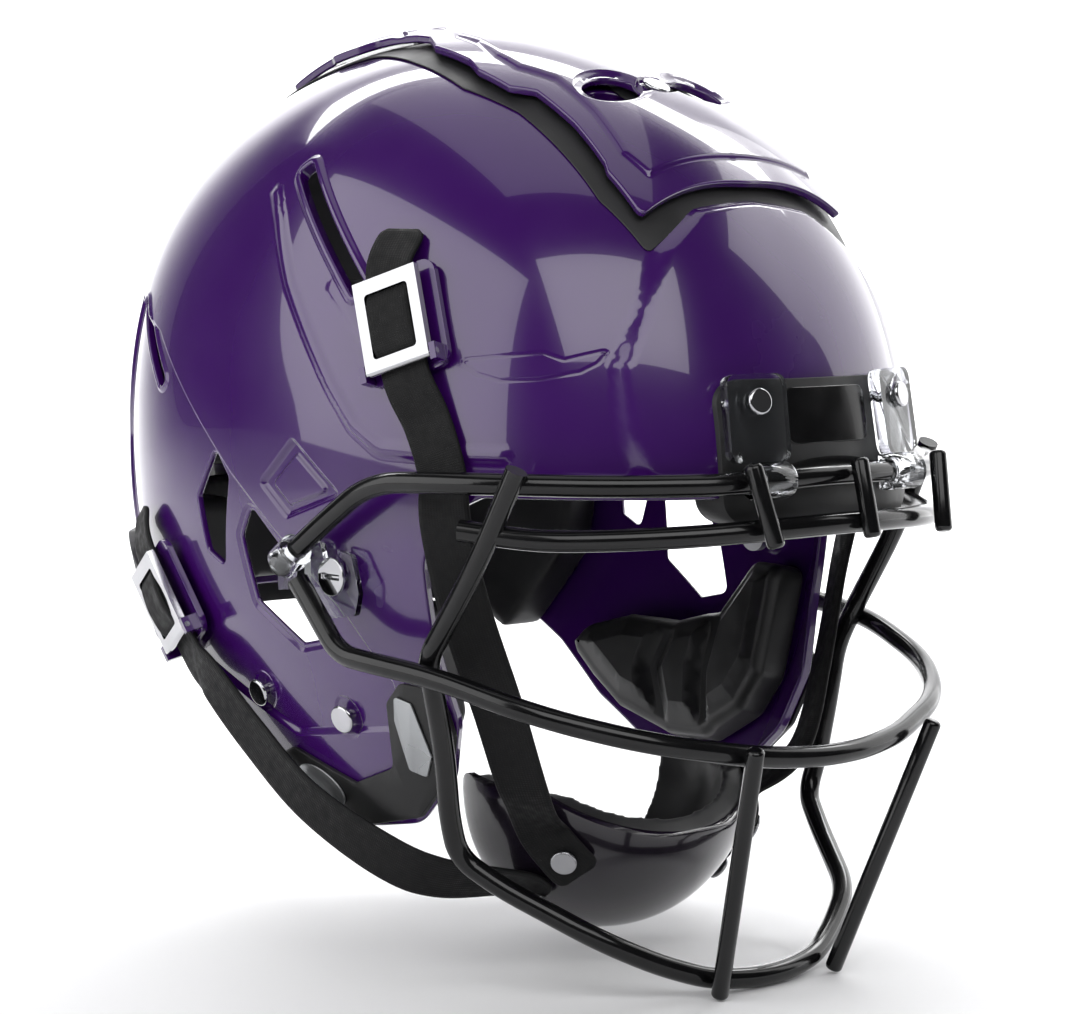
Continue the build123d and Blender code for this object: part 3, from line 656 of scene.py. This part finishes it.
def paint(piece, slot):
    piece.data.materials.clear()
    piece.data.materials.append(FINISH[slot])


SLOT_OF = {part["node"]: part["material_slot"] for part in frame["record"]["subparts"]}
for node_name, node in frame["nodes"].items():
    paint(node, SLOT_OF[node_name])

# ------------------------------------------------------------------ shell

BROW_EDGE = -11.0
NAPE_EDGE = -72
REAR_SLOPE = 0.1


def side_chart(pairs):
    return to_chart(beside(pairs))


def shell_outline():
    """The left half's edge: brow, face, jaw, nape, then back over the crown's middle."""
    brow = in_front([(x, BROW_EDGE) for x in np.linspace(0, 84, 42)])
    nape = [(x, NAPE_EDGE + REAR_SLOPE * 50) for x in np.linspace(84, 0, 36)]
    for _ in range(3):
        spots = behind(nape)
        nape = [(x, NAPE_EDGE + REAR_SLOPE * (spot[1] - 100)) for (x, _), spot in zip(nape, spots)]
    spots = behind(nape)
    first, last = brow[-1], spots[0]
    corners = [(first[1], BROW_EDGE), (-90, -11), (-76, -18), (-67, -34), (-67, -66), (-70, -92), (-62, -114),
               (-44, -131), (-20, -135), (8, -132), (44, -112), (68, -92), (100, -72), (last[1], last[2])]
    radii = [0, 8, 10, 14, 30, 14, 18, 16, 30, 30, 30, 20, 30, 0]
    side = rounded(corners, radii, 2.0, close=False)
    loop = [to_chart(brow), side_chart(side[1:-1]), to_chart(spots)]
    low = math.atan2(loop[2][-1][1], loop[2][-1][0]) % (2 * math.pi)
    high = math.atan2(loop[0][0][1], loop[0][0][0])
    bearing = np.linspace(low, high, int((low - high) * EDGE / SEAM_STEP))[1:-1]
    loop.append(EDGE * np.stack([np.cos(bearing), np.sin(bearing)], 1))
    loop = np.vstack(loop)
    for index in (0, len(brow) + len(side) - 2 + len(spots) - 1):
        loop[index] = unit(loop[index]) * EDGE
    return loop


def circle(centre, radius, count=24):
    turn = np.linspace(0, 2 * math.pi, count, endpoint=False)
    return np.asarray(centre) + radius * np.stack([np.cos(turn), np.sin(turn)], 1)


# middle and half sizes of the left vents in the crown
VENTS = [(20.5, -71, 12.5, 7), (21, 22, 12, 6)]


def vent_loop(x, y, half_x, half_y, grow=0.0):
    turn = np.linspace(0, 2 * math.pi, 40, endpoint=False)
    pairs = [(x + (half_x + grow) * math.cos(t), y + (half_y + grow) * math.sin(t)) for t in turn]
    return to_chart(on_top(pairs))


def window(corners, radius):
    return side_chart(rounded(corners, radius, 1.6))


EAR = [(20, -20), (26, -31), (21, -55), (-1, -69), (-15, -66), (-5, -42)]
REAR = [(40, 0), (52, -18), (48, -38), (38, -43), (32, -10)]
SLOT = [(11, 100), (6, 104), (-38, 60), (-33, 56)]
BACK_SLOT = [(106, 51), (101, 55), (75, 24), (80, 21)]


def past_middle(points):
    """Chart outline of a shape that crosses the middle plane, from its line on the left."""
    line = to_chart(np.array(points, float))
    first, last = (math.atan2(line[k][1], line[k][0]) for k in (0, -1))
    far = EDGE + 35
    bearing = np.linspace(last, first, 24)
    return np.vstack([line, far * np.stack([np.cos(bearing), np.sin(bearing)], 1)])


def grown(loop, width):
    loop = np.asarray(loop)
    if area_of(loop) < 0:
        loop = loop[::-1]
    return loop + outward(loop) * width


def make_shell():
    relief = Relief()
    # crease that runs down from the side slot and forward along the brow
    crease = rounded([(20, 93), (13, 83), (0, 61), (-14, 42), (-26, 26), (-38, 12), (-50, 4.5), (-77, 3.5),
                      (-96, 3.5)], 10, 2, close=False)
    relief.line(side_chart(crease), 1.0, 4.5)
    second = rounded([(-22, 60), (-38, 46), (-53, 31), (-62, 18)], 10, 2, close=False)
    relief.line(side_chart(second), 0.5, 5.0)
    # rear panel's step
    step_line = [(118, 58), (81, 42), (57, 19), (29, -7), (1, -29), (-10, -37), (-27, -52), (-46, -78),
                 (-50, -96), (10, -104), (60, -84), (95, -66), (118, -50), (128, 0)]
    step_radii = [2, 8, 8, 8, 8, 6, 8, 8, 10, 10, 10, 10, 10, 10]
    relief.area(side_chart(rounded(step_line, step_radii, 2)), -1.6, 1.8)
    # raised lips round the side slot and the rear slot, and a recess round the ear window
    relief.area(grown(window(SLOT, 2.4), 3.6), 1.3, 1.8)
    relief.area(grown(window(BACK_SLOT, 2.4), 2.6), 0.8, 1.2)
    relief.area(grown(window(EAR, 3), 3.0), -0.9, 1.2)
    # sunk four-sided pocket in front of the ear, with its raised middle
    pocket = [(-7, 7), (12.5, -10.5), (-3, -23), (-33, -13)]
    relief.area(side_chart(rounded(pocket, 3, 1.6)), -2.0, 2.4)
    relief.area(side_chart(rounded([(-8, 1.5), (6, -10.5), (-4, -18.5), (-26, -12)], 2.5, 1.6)), 1.2, 1.6)
    # engraved outline on the side
    blade = [(-79, 35.5), (-106, 38.5), (-112, 36), (-123, 39.5), (-121, 35), (-117, 32), (-106, 29.5),
             (-94, 28.8), (-86, 31)]
    blade = rounded(blade, 1.6, 1.2)
    relief.line(side_chart(np.vstack([blade, blade[:1]])), -0.8, 0.8)
    # raised forehead with flat flanks, whose top faces the crown plate across a slot
    brow = past_middle([(0, -119, 92), (30, -119, 89), (52, -121.5, 74), (65, -123, 50), (74, -122, 34),
                        (76, -128, 12), (66, -138, -22), (0, -160, -24)])
    relief.area(resample(brow, 2), 3.0, 9.0, soft=True)
    # dimples under the jaw screws
    for y, z in ((27, -89), (-19, -94)):
        relief.area(circle(side_chart([(y, z)])[0], 6.6), -0.5, 0.8)
    holes = [window(EAR, 3), window(REAR, 2.5), window(SLOT, 2.4), window(BACK_SLOT, 2.4)]
    holes += [vent_loop(*vent) for vent in VENTS]
    shell = panel("shell_skin", shell_outline(), holes, -WALL, 0.0, 1.0, "shell_gloss", outer=relief,
                  half=True, spacing=2.6, segments=4)
    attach(shell, "shell")
    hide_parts("shell")


# ------------------------------------------------------------------ crown plate and its gasket

# left edge of the crown plate from front to back, with its tabs
PLATE = [(50, -115), (51, -100), (49.5, -97), (47, -80), (46, -60), (51, -52), (51, -36), (48, -28),
         (46, -8), (38, 4), (36.5, 12), (36.5, 34), (43, 38), (44, 50), (38, 58), (36, 84)]
PLATE_LOW = 2.4
PLATE_HIGH = 5.6
GASKET_LOW = 0.25
GASKET_HIGH = 0.85


def half_top(pairs, radii):
    """Chart outline of a piece on the crown from its left edge, front to back."""
    line = [(0, pairs[0][1] - 1.5)] + pairs + [(0, pairs[-1][1])]
    return half_loop(on_top(rounded(line, [0] + list(radii) + [0], 2.0, close=False)))


def half_loop(points):
    """Chart outline from a line of points whose ends lie on the middle plane."""
    edge = to_chart(points)
    low = math.atan2(edge[-1][1], edge[-1][0])
    high = math.atan2(edge[0][1], edge[0][0])
    bearing = np.linspace(low, high, max(4, int(abs(high - low) * EDGE / SEAM_STEP)))[1:-1]
    loop = np.vstack([edge, EDGE * np.stack([np.cos(bearing), np.sin(bearing)], 1)])
    loop[0] = unit(loop[0]) * EDGE
    loop[len(edge) - 1] = unit(loop[len(edge) - 1]) * EDGE
    return loop


def make_crown():
    outline = half_top(PLATE, [3] + [2.2] * (len(PLATE) - 2) + [4])
    relief = Relief()
    # raised middle, then recesses round the vents and under the screws
    inner_edge = [(0, -109), (41, -109), (44, -98), (40, -80), (38, -60), (43, -46), (42, -34), (38, -20),
                  (37, -8), (30, 6), (28, 34), (34, 42), (31, 60), (27, 76), (0, 77)]
    relief.area(past_middle(on_top(rounded(inner_edge, 3, 2, close=False))), 1.5, 3.0, soft=True)
    for x, y, half_x, half_y in VENTS:
        relief.area(vent_loop(x, y, half_x, half_y, 3.6), -1.8, 3.2)
    for y in (-72, 52):
        relief.area(circle(to_chart(on_top([(0, y)]))[0], 8.4), -1.9, 1.6)
    vents = [vent_loop(*vent) for vent in VENTS]
    plate = panel("crown_plate_skin", outline, vents, PLATE_LOW, PLATE_HIGH, 0.9, "shell_gloss",
                  outer=relief, half=True, spacing=2.4)
    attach(plate, "crown_plate")
    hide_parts("crown_plate")
    band = [(52, -121.5), (57, -103), (54, -60), (57, -34), (52, -4), (44, 30), (49, 62), (47, 93)]
    outline = half_top(band, [4] + [8] * (len(band) - 2) + [4])
    hole_pairs = [(30, -104), (34, -70), (34, -30), (24, 4), (22, 60), (12, 66), (12, -104)]
    hole = to_chart(on_top(rounded(hole_pairs, 3, 2)))
    gasket = panel("crown_gasket_strip", outline, [hole], GASKET_LOW, GASKET_HIGH, 0.3, "black_rubber",
                   half=True, spacing=4)
    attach(gasket, "shell")
    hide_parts("crown_gasket")


# ------------------------------------------------------------------ camera, light and floor


CAMERA_PLACE = (-0.8245, -0.86087, 0.26543)
CAMERA_TURN = -43.9
CAMERA_TILT = 4.9
CAMERA_LENS = 105.03
FLOOR_HALF = 4.0
FLOOR_NEAR = -3.0
SWEEP_START = 1.6
SWEEP_RADIUS = 0.9
BACKDROP_TOP = 4.0


def setup_camera(scene):
    data = bpy.data.cameras.new("camera")
    data.sensor_fit = "HORIZONTAL"
    data.sensor_width = 36
    data.lens = CAMERA_LENS
    data.clip_end = 100
    camera = bpy.data.objects.new("camera", data)
    scene.collection.objects.link(camera)
    turn, tilt = math.radians(CAMERA_TURN), math.radians(CAMERA_TILT)
    back = Vector((math.sin(turn) * math.cos(tilt), -math.cos(turn) * math.cos(tilt), math.sin(tilt)))
    camera.location = Vector(CAMERA_PLACE)
    camera.rotation_euler = back.to_track_quat("Z", "Y").to_euler()
    scene.camera = camera


def setup_world(scene):
    world = bpy.data.worlds.new("studio")
    world.use_nodes = True
    world.node_tree.nodes["Background"].inputs["Color"].default_value = (1, 1, 1, 1)
    world.node_tree.nodes["Background"].inputs["Strength"].default_value = 0.05
    scene.world = world


def make_floor(scene):
    """Pale floor that sweeps up into a backdrop behind the helmet."""
    pale = node_material("pale_floor", (0.86, 0.86, 0.87), 0.6, vary=0.015, scale=3, bump=0.05, bump_scale=60)
    away = Vector((0.69, 0.72, 0)).normalized()
    side = Vector((away.y, -away.x, 0))
    steps = [(FLOOR_NEAR, 0.0), (SWEEP_START, 0.0)]
    steps += [(SWEEP_START + SWEEP_RADIUS * math.sin(a), SWEEP_RADIUS - SWEEP_RADIUS * math.cos(a))
              for a in np.linspace(0.1, math.pi / 2, 14)]
    steps.append((SWEEP_START + SWEEP_RADIUS, BACKDROP_TOP))
    verts, faces = [], []
    for out, up in steps:
        for s in (-FLOOR_HALF, FLOOR_HALF):
            verts.append(away * out + side * s + Vector((0, 0, up)))
    for i in range(len(steps) - 1):
        faces.append((2 * i, 2 * i + 1, 2 * i + 3, 2 * i + 2))
    mesh = bpy.data.meshes.new("floor")
    mesh.from_pydata(verts, [], faces)
    mesh.shade_smooth()
    mesh.materials.append(pale)
    floor = bpy.data.objects.new("floor", mesh)
    scene.collection.objects.link(floor)


def softbox(name, way, far, width, tall, power, target=(0, 0, 0.18)):
    lamp = bpy.data.lights.new(name, "AREA")
    lamp.shape = "RECTANGLE"
    lamp.size, lamp.size_y, lamp.energy = width, tall, power
    box = bpy.data.objects.new(name, lamp)
    way = Vector(way).normalized()
    box.location = Vector(target) + way * far
    box.rotation_euler = way.to_track_quat("Z", "Y").to_euler()
    bpy.context.scene.collection.objects.link(box)


def setup_stage():
    scene = bpy.context.scene
    scene.view_settings.view_transform = "Standard"
    setup_camera(scene)
    setup_world(scene)
    make_floor(scene)
    softbox("softbox_side", (-0.93, 0.3, 0.4), 1.5, 1.6, 1.4, 16)
    softbox("softbox_high", (-0.42, -0.68, 0.66), 1.6, 1.5, 0.9, 12)
    softbox("softbox_front", (0.97, -0.25, 0.36), 1.5, 1.3, 1.7, 13)
    softbox("softbox_top", (0.1, 0.15, 1.0), 1.9, 1.6, 1.6, 6)
    softbox("backdrop_light", (-0.45, -0.5, 1.0), 1.6, 3.0, 1.2, 110, target=(1.6, 1.7, 0.6))


# ------------------------------------------------------------------ straps


def curve_through(points, parts):
    """Smooth line through points, as positions spaced evenly between each pair."""
    points = np.asarray(points, float)
    padded = np.vstack([2 * points[0] - points[1], points, 2 * points[-1] - points[-2]])
    out = []
    for i in range(1, len(padded) - 2):
        a, b, c, d = padded[i - 1:i + 3]
        for t in np.linspace(0, 1, parts, endpoint=False):
            bend, twist = 2 * a - 5 * b + 4 * c - d, 3 * b - a - 3 * c + d
            out.append(0.5 * (2 * b + (c - a) * t + bend * t * t + twist * t ** 3))
    out.append(points[-1])
    return np.array(out)


def ribbon(name, route, normals, width, thick, slot, parts=10, round_ends=(True, True)):
    """Flat webbing along a route, with full edges, and an unrolled map in millimetres."""
    line = curve_through(route, parts)
    facing = unit(curve_through(normals, parts))
    run = unit(np.gradient(line, axis=0))
    across = unit(np.cross(run, facing))
    facing = np.cross(across, run)
    length = np.concatenate([[0], np.cumsum(np.linalg.norm(np.diff(line, axis=0), axis=1))])
    half, h = width / 2, thick / 2
    # flat face between two raised selvedges, then round each edge and across the back
    section = [(-half + 0.5, h * 0.92), (-half * 0.8, h * 1.12), (-half * 0.72, h), (0, h),
               (half * 0.72, h), (half * 0.8, h * 1.12), (half - 0.5, h * 0.92), (half - 0.1, h * 0.45),
               (half, 0), (half - 0.1, -h * 0.45), (half - 0.5, -h), (0, -h), (-half + 0.5, -h),
               (-half + 0.1, -h * 0.45), (-half, 0), (-half + 0.1, h * 0.45)]
    verts, maps = [], []
    for i, point in enumerate(line):
        trim = 1.0
        for used, gap in ((round_ends[0], length[i]), (round_ends[1], length[-1] - length[i])):
            if used and gap < 4:
                trim = min(trim, 0.72 + 0.28 * math.sqrt(max(0, 1 - (1 - gap / 4) ** 2)))
        for x, z in section:
            verts.append(point + across[i] * x * trim + facing[i] * z)
            maps.append((length[i], x))
    size = len(section)
    faces = []
    for i in range(len(line) - 1):
        for k in range(size):
            n = (k + 1) % size
            faces.append((i * size + k, i * size + n, (i + 1) * size + n, (i + 1) * size + k))
    faces.append(tuple(range(size))[::-1])
    faces.append(tuple((len(line) - 1) * size + k for k in range(size)))
    mesh = bpy.data.meshes.new(name)
    mesh.from_pydata([tuple(v) for v in metres(verts)], [], faces)
    mesh.shade_smooth()
    layer = mesh.uv_layers.new(name="unrolled")
    for loop in mesh.loops:
        layer.data[loop.index].uv = maps[loop.vertex_index]
    mesh.validate()
    piece = bpy.data.objects.new(name, mesh)
    bpy.context.scene.collection.objects.link(piece)
    paint(piece, slot)
    return piece


class Seat:
    """Place on the left side of the shell, with its outward and lengthways directions."""

    def __init__(self, y, z, run):
        self.point = beside([(y, z)])[0]
        self.normal = unit(slope(self.point[None]))[0]
        run = np.array(run, float)
        self.run = unit(run - self.normal * (run @ self.normal))

    def at(self, along, high):
        return self.point + self.run * along + self.normal * high


UPPER = Seat(-57, 47, (0, 0.33, 0.94))
LOWER = Seat(75, -58, (0, 0.5, 0.87))
CUP_CENTRE = np.array((0.0, -50.0, -121.0))
CUP_HALF = np.array((61.0, 50.0, 58.0))


def on_shell(y, z, rise):
    point = beside([(y, z)], 0)
    normal = unit(slope(point))[0]
    return point[0] + normal * rise, normal


def on_cup(y, z, rise):
    back, up = (y - CUP_CENTRE[1]) / CUP_HALF[1], (z - CUP_CENTRE[2]) / CUP_HALF[2]
    across = math.sqrt(1 - back * back - up * up)
    normal = unit(np.array((across, back, up)) / CUP_HALF)
    return np.array((across * CUP_HALF[0], y, z)) + normal * rise, normal


def stations(pairs):
    """Places along a strap with the way that its face looks."""
    return [(np.array(place), unit(np.array(facing, float))) for place, facing in pairs]


def strap_routes():
    upper = [on_shell(-48, 79, 1.6), (UPPER.at(20, 4.7), UPPER.normal), (UPPER.at(0, 4.6), UPPER.normal),
             (UPPER.at(-20, 4.7), UPPER.normal), on_shell(-71, 14, 2.6), on_shell(-77, -3, 2.6)]
    upper += stations((((106.5, -79, -21), (1, -0.5, 0)), ((98, -79, -50), (1, -0.55, 0.1)),
                       ((85, -82, -86), (1, -0.5, 0.15)), ((73, -82, -116), (1, -0.45, 0.15))))
    upper += [on_cup(-72, -133, CUP_RISE), on_cup(-76, -143, CUP_RISE), on_cup(-78, -149, CUP_RISE)]
    lower = [on_shell(93, -27, 2.2), (LOWER.at(20, 4.7), LOWER.normal), (LOWER.at(-20, 4.7), LOWER.normal)]
    lower += stations((((108, 50, -86), (1, 0, -0.3)), ((106, 28, -105), (1, -0.1, -0.3)),
                       ((102.5, 0, -126.5), (1, -0.15, -0.3)), ((93, -31, -143.5), (1, -0.4, -0.3)),
                       ((80, -47, -151), (0.9, -0.5, -0.5))))
    lower += [on_cup(-58, -154, CUP_RISE), on_cup(-62, -159, CUP_RISE)]
    return upper, lower


def make_straps():
    upper, lower = strap_routes()
    for kind, route, held in (("upper", upper, 4), ("lower", lower, 2)):
        points, normals = [p for p, _ in route], [n for _, n in route]
        for side, flip in (("left", 1), ("right", -1)):
            turn = np.array((flip, 1, 1))
            strap = ribbon(f"{kind}_strap_{side}_webbing", points * turn, normals * turn, STRAP_WIDTH,
                           STRAP_THICK, "webbing")
            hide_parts(f"{kind}_strap_{side}")
            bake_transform(strap)
    for kind, seat in (("upper", UPPER), ("lower", LOWER)):
        path = [seat.at(u, h) for u, h in ((-11.2, 7.4), (-8, 8.9), (0, 9.7), (8, 8.9), (11.2, 7.4))]
        for side, flip in (("left", 1), ("right", -1)):
            turn = np.array((flip, 1, 1))
            fold = ribbon(f"{kind}_strap_fold_{side}", path * turn, [seat.normal * turn] * 5, FOLD_WIDTH,
                          FOLD_THICK, "webbing", parts=6, round_ends=(False, False))
            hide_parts(f"{kind}_strap_wrap_{side}")
            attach(fold, f"{kind}_buckle_{side}")


# ------------------------------------------------------------------ liner


def settle(piece):
    """Makes a piece's modifiers permanent."""
    bpy.context.view_layer.update()
    done = piece.evaluated_get(bpy.context.evaluated_depsgraph_get())
    mesh = bpy.data.meshes.new_from_object(done)
    piece.modifiers.clear()
    piece.data = mesh


def soft_copy(node, name, body, cell, rounds, slot="pad_skin"):
    """Rounded, stuffed version of a closed block."""
    source = frame["nodes"][node]
    piece = bpy.data.objects.new(name, source.data.copy())
    bpy.context.scene.collection.objects.link(piece)
    remesh = piece.modifiers.new("remesh", "REMESH")
    remesh.mode = "VOXEL"
    remesh.voxel_size = cell / 1000
    ease = piece.modifiers.new("ease", "SMOOTH")
    ease.factor, ease.iterations = 0.5, rounds
    settle(piece)
    piece.data.shade_smooth()
    paint(piece, slot)
    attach(piece, body)
    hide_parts(node)


def cushion_pair(kind, outline, lobes, corner, ramp, spacing, segments):
    """Left and right pad inside the shell, with raised lobes on the side that meets the head."""
    relief = Relief()
    for lobe, rise in lobes:
        relief.area(side_chart(rounded(lobe, corner, 2)), rise, ramp)
    pads = panel(f"{kind}_pad_left_cushion", outline, [], PAD_FRONT, PAD_BACK, 2.0, "pad_skin", inner=relief,
                 spacing=spacing, inner_bevel=5.0, mirror=True, segments=segments)
    for pad, side in zip(pads, ("left", "right")):
        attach(pad, "shell")
        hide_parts(f"{kind}_pad_{side}")


def make_liner():
    jaw = [(-62, -53), (-45, -53), (-27, -74), (-4, -80), (24, -80), (46, -86), (55, -94), (40, -106),
           (22, -117), (-8, -125), (-30, -124), (-52, -111), (-61, -96)]
    jaw_lobes = (
        ([(-61, -55), (-46, -55), (-30, -76), (-27, -98), (-33, -121), (-51, -110), (-60, -95)], 6.0),
        ([(-25, -77), (-3, -81.5), (4, -100), (-8, -122), (-29, -121), (-23, -98)], 4.2),
        ([(1, -82), (24, -82), (44, -88), (51, -94), (22, -114), (-4, -121), (8, -100)], 4.2))
    cushion_pair("jaw", side_chart(rounded(jaw, 6, 2)), jaw_lobes, 5, 6.5, 3.0, 5)
    temple = [(-63, -6), (8, -18), (28, -18), (38, 4), (60, 4), (60, 64), (-63, 64)]
    temple_lobes = [(lobe, 5.0) for lobe in (
        [(-60, -4), (-22, -10), (-22, 26), (-60, 26)],
        [(-19, -11), (8, -15), (26, -15), (34, 4), (34, 26), (-19, 26)],
        [(-60, 29), (-4, 29), (-4, 61), (-60, 61)], [(-1, 29), (57, 29), (57, 61), (-1, 61)])]
    cushion_pair("side", side_chart(rounded(temple, 5, 2)), temple_lobes, 4, 6.0, 3.4, 4)
    for node in ("front_pad", "crown_pad", "back_pad", "nape_pad"):
        soft_copy(node, node + "_cushion", "shell", 1.8, 8)
    soft_copy("chin_pad", "chin_pad_cushion", "chin_cup", 1.2, 8)


# ------------------------------------------------------------------ hard parts with eased edges


def soften(node, width, body, segments=2, angle=28, flatness=1.0):
    """Copy of a hard part whose edges are eased, as moulded and cast parts have them."""
    source = frame["nodes"][node]
    piece = bpy.data.objects.new(node + "_finished", source.data.copy())
    bpy.context.scene.collection.objects.link(piece)
    piece.data.normals_split_custom_set([(0, 0, 0)] * len(piece.data.loops))
    weld = piece.modifiers.new("weld", "WELD")
    weld.merge_threshold = 0.00002
    plain = piece.modifiers.new("plain", "DECIMATE")
    plain.decimate_type = "DISSOLVE"
    plain.angle_limit = math.radians(flatness)
    edge = piece.modifiers.new("edge", "BEVEL")
    edge.width, edge.segments = width / 1000, segments
    edge.limit_method = "ANGLE"
    edge.angle_limit = math.radians(angle)
    edge.use_clamp_overlap = True
    edge.harden_normals = True
    settle(piece)
    paint(piece, SLOT_OF[node])
    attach(piece, body)
    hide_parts(node)


def make_hard_parts():
    for side in ("left", "right"):
        for kind in ("upper", "lower"):
            soften(f"{kind}_buckle_{side}", 1.2, f"{kind}_buckle_{side}", segments=4)
            soften(f"{kind}_buckle_base_{side}", 0.4, "shell")
        soften(f"brow_clip_{side}", 0.6, "shell", angle=50, flatness=0.1)
        soften(f"side_clip_{side}", 0.4, "facemask")
    soften("front_bumper", 0.9, "shell", segments=3)
    for node, body in (("shell_screws", "shell"), ("brow_clip_screws", "shell"),
                       ("crown_screws", "shell"), ("strap_snaps", "chin_cup")):
        soften(node, 0.9, body, segments=4)
    for side in ("left", "right"):
        soften(f"side_stud_{side}", 0.7, f"side_stud_{side}", segments=4)
    soften("chin_cup", 0.8, "chin_cup", segments=3)
    soften("mask_brow_uprights", 1.6, "facemask", segments=4, angle=50)
    soften("mask_chin_uprights", 1.6, "facemask", segments=4, angle=50)
    for side in ("left", "right"):
        soften(f"jaw_guard_{side}", 0.5, "shell", angle=40)
    soften("jaw_badges", 0.3, "shell", angle=40)
    soften("rear_bumper", 0.8, "shell", segments=3, angle=40)
    face = in_front(rounded([(0, 25), (20, 25), (20, 6), (0, 6)], 4, 2, close=False))
    plain_face = panel("brow_bumper_face", half_loop(face[::-1]), [], 5.0, 6.1, 0.5, "coated_wire",
                       half=True, spacing=4)
    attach(plain_face, "shell")


make_shell()
make_crown()
make_straps()
make_liner()
make_hard_parts()
setup_stage()
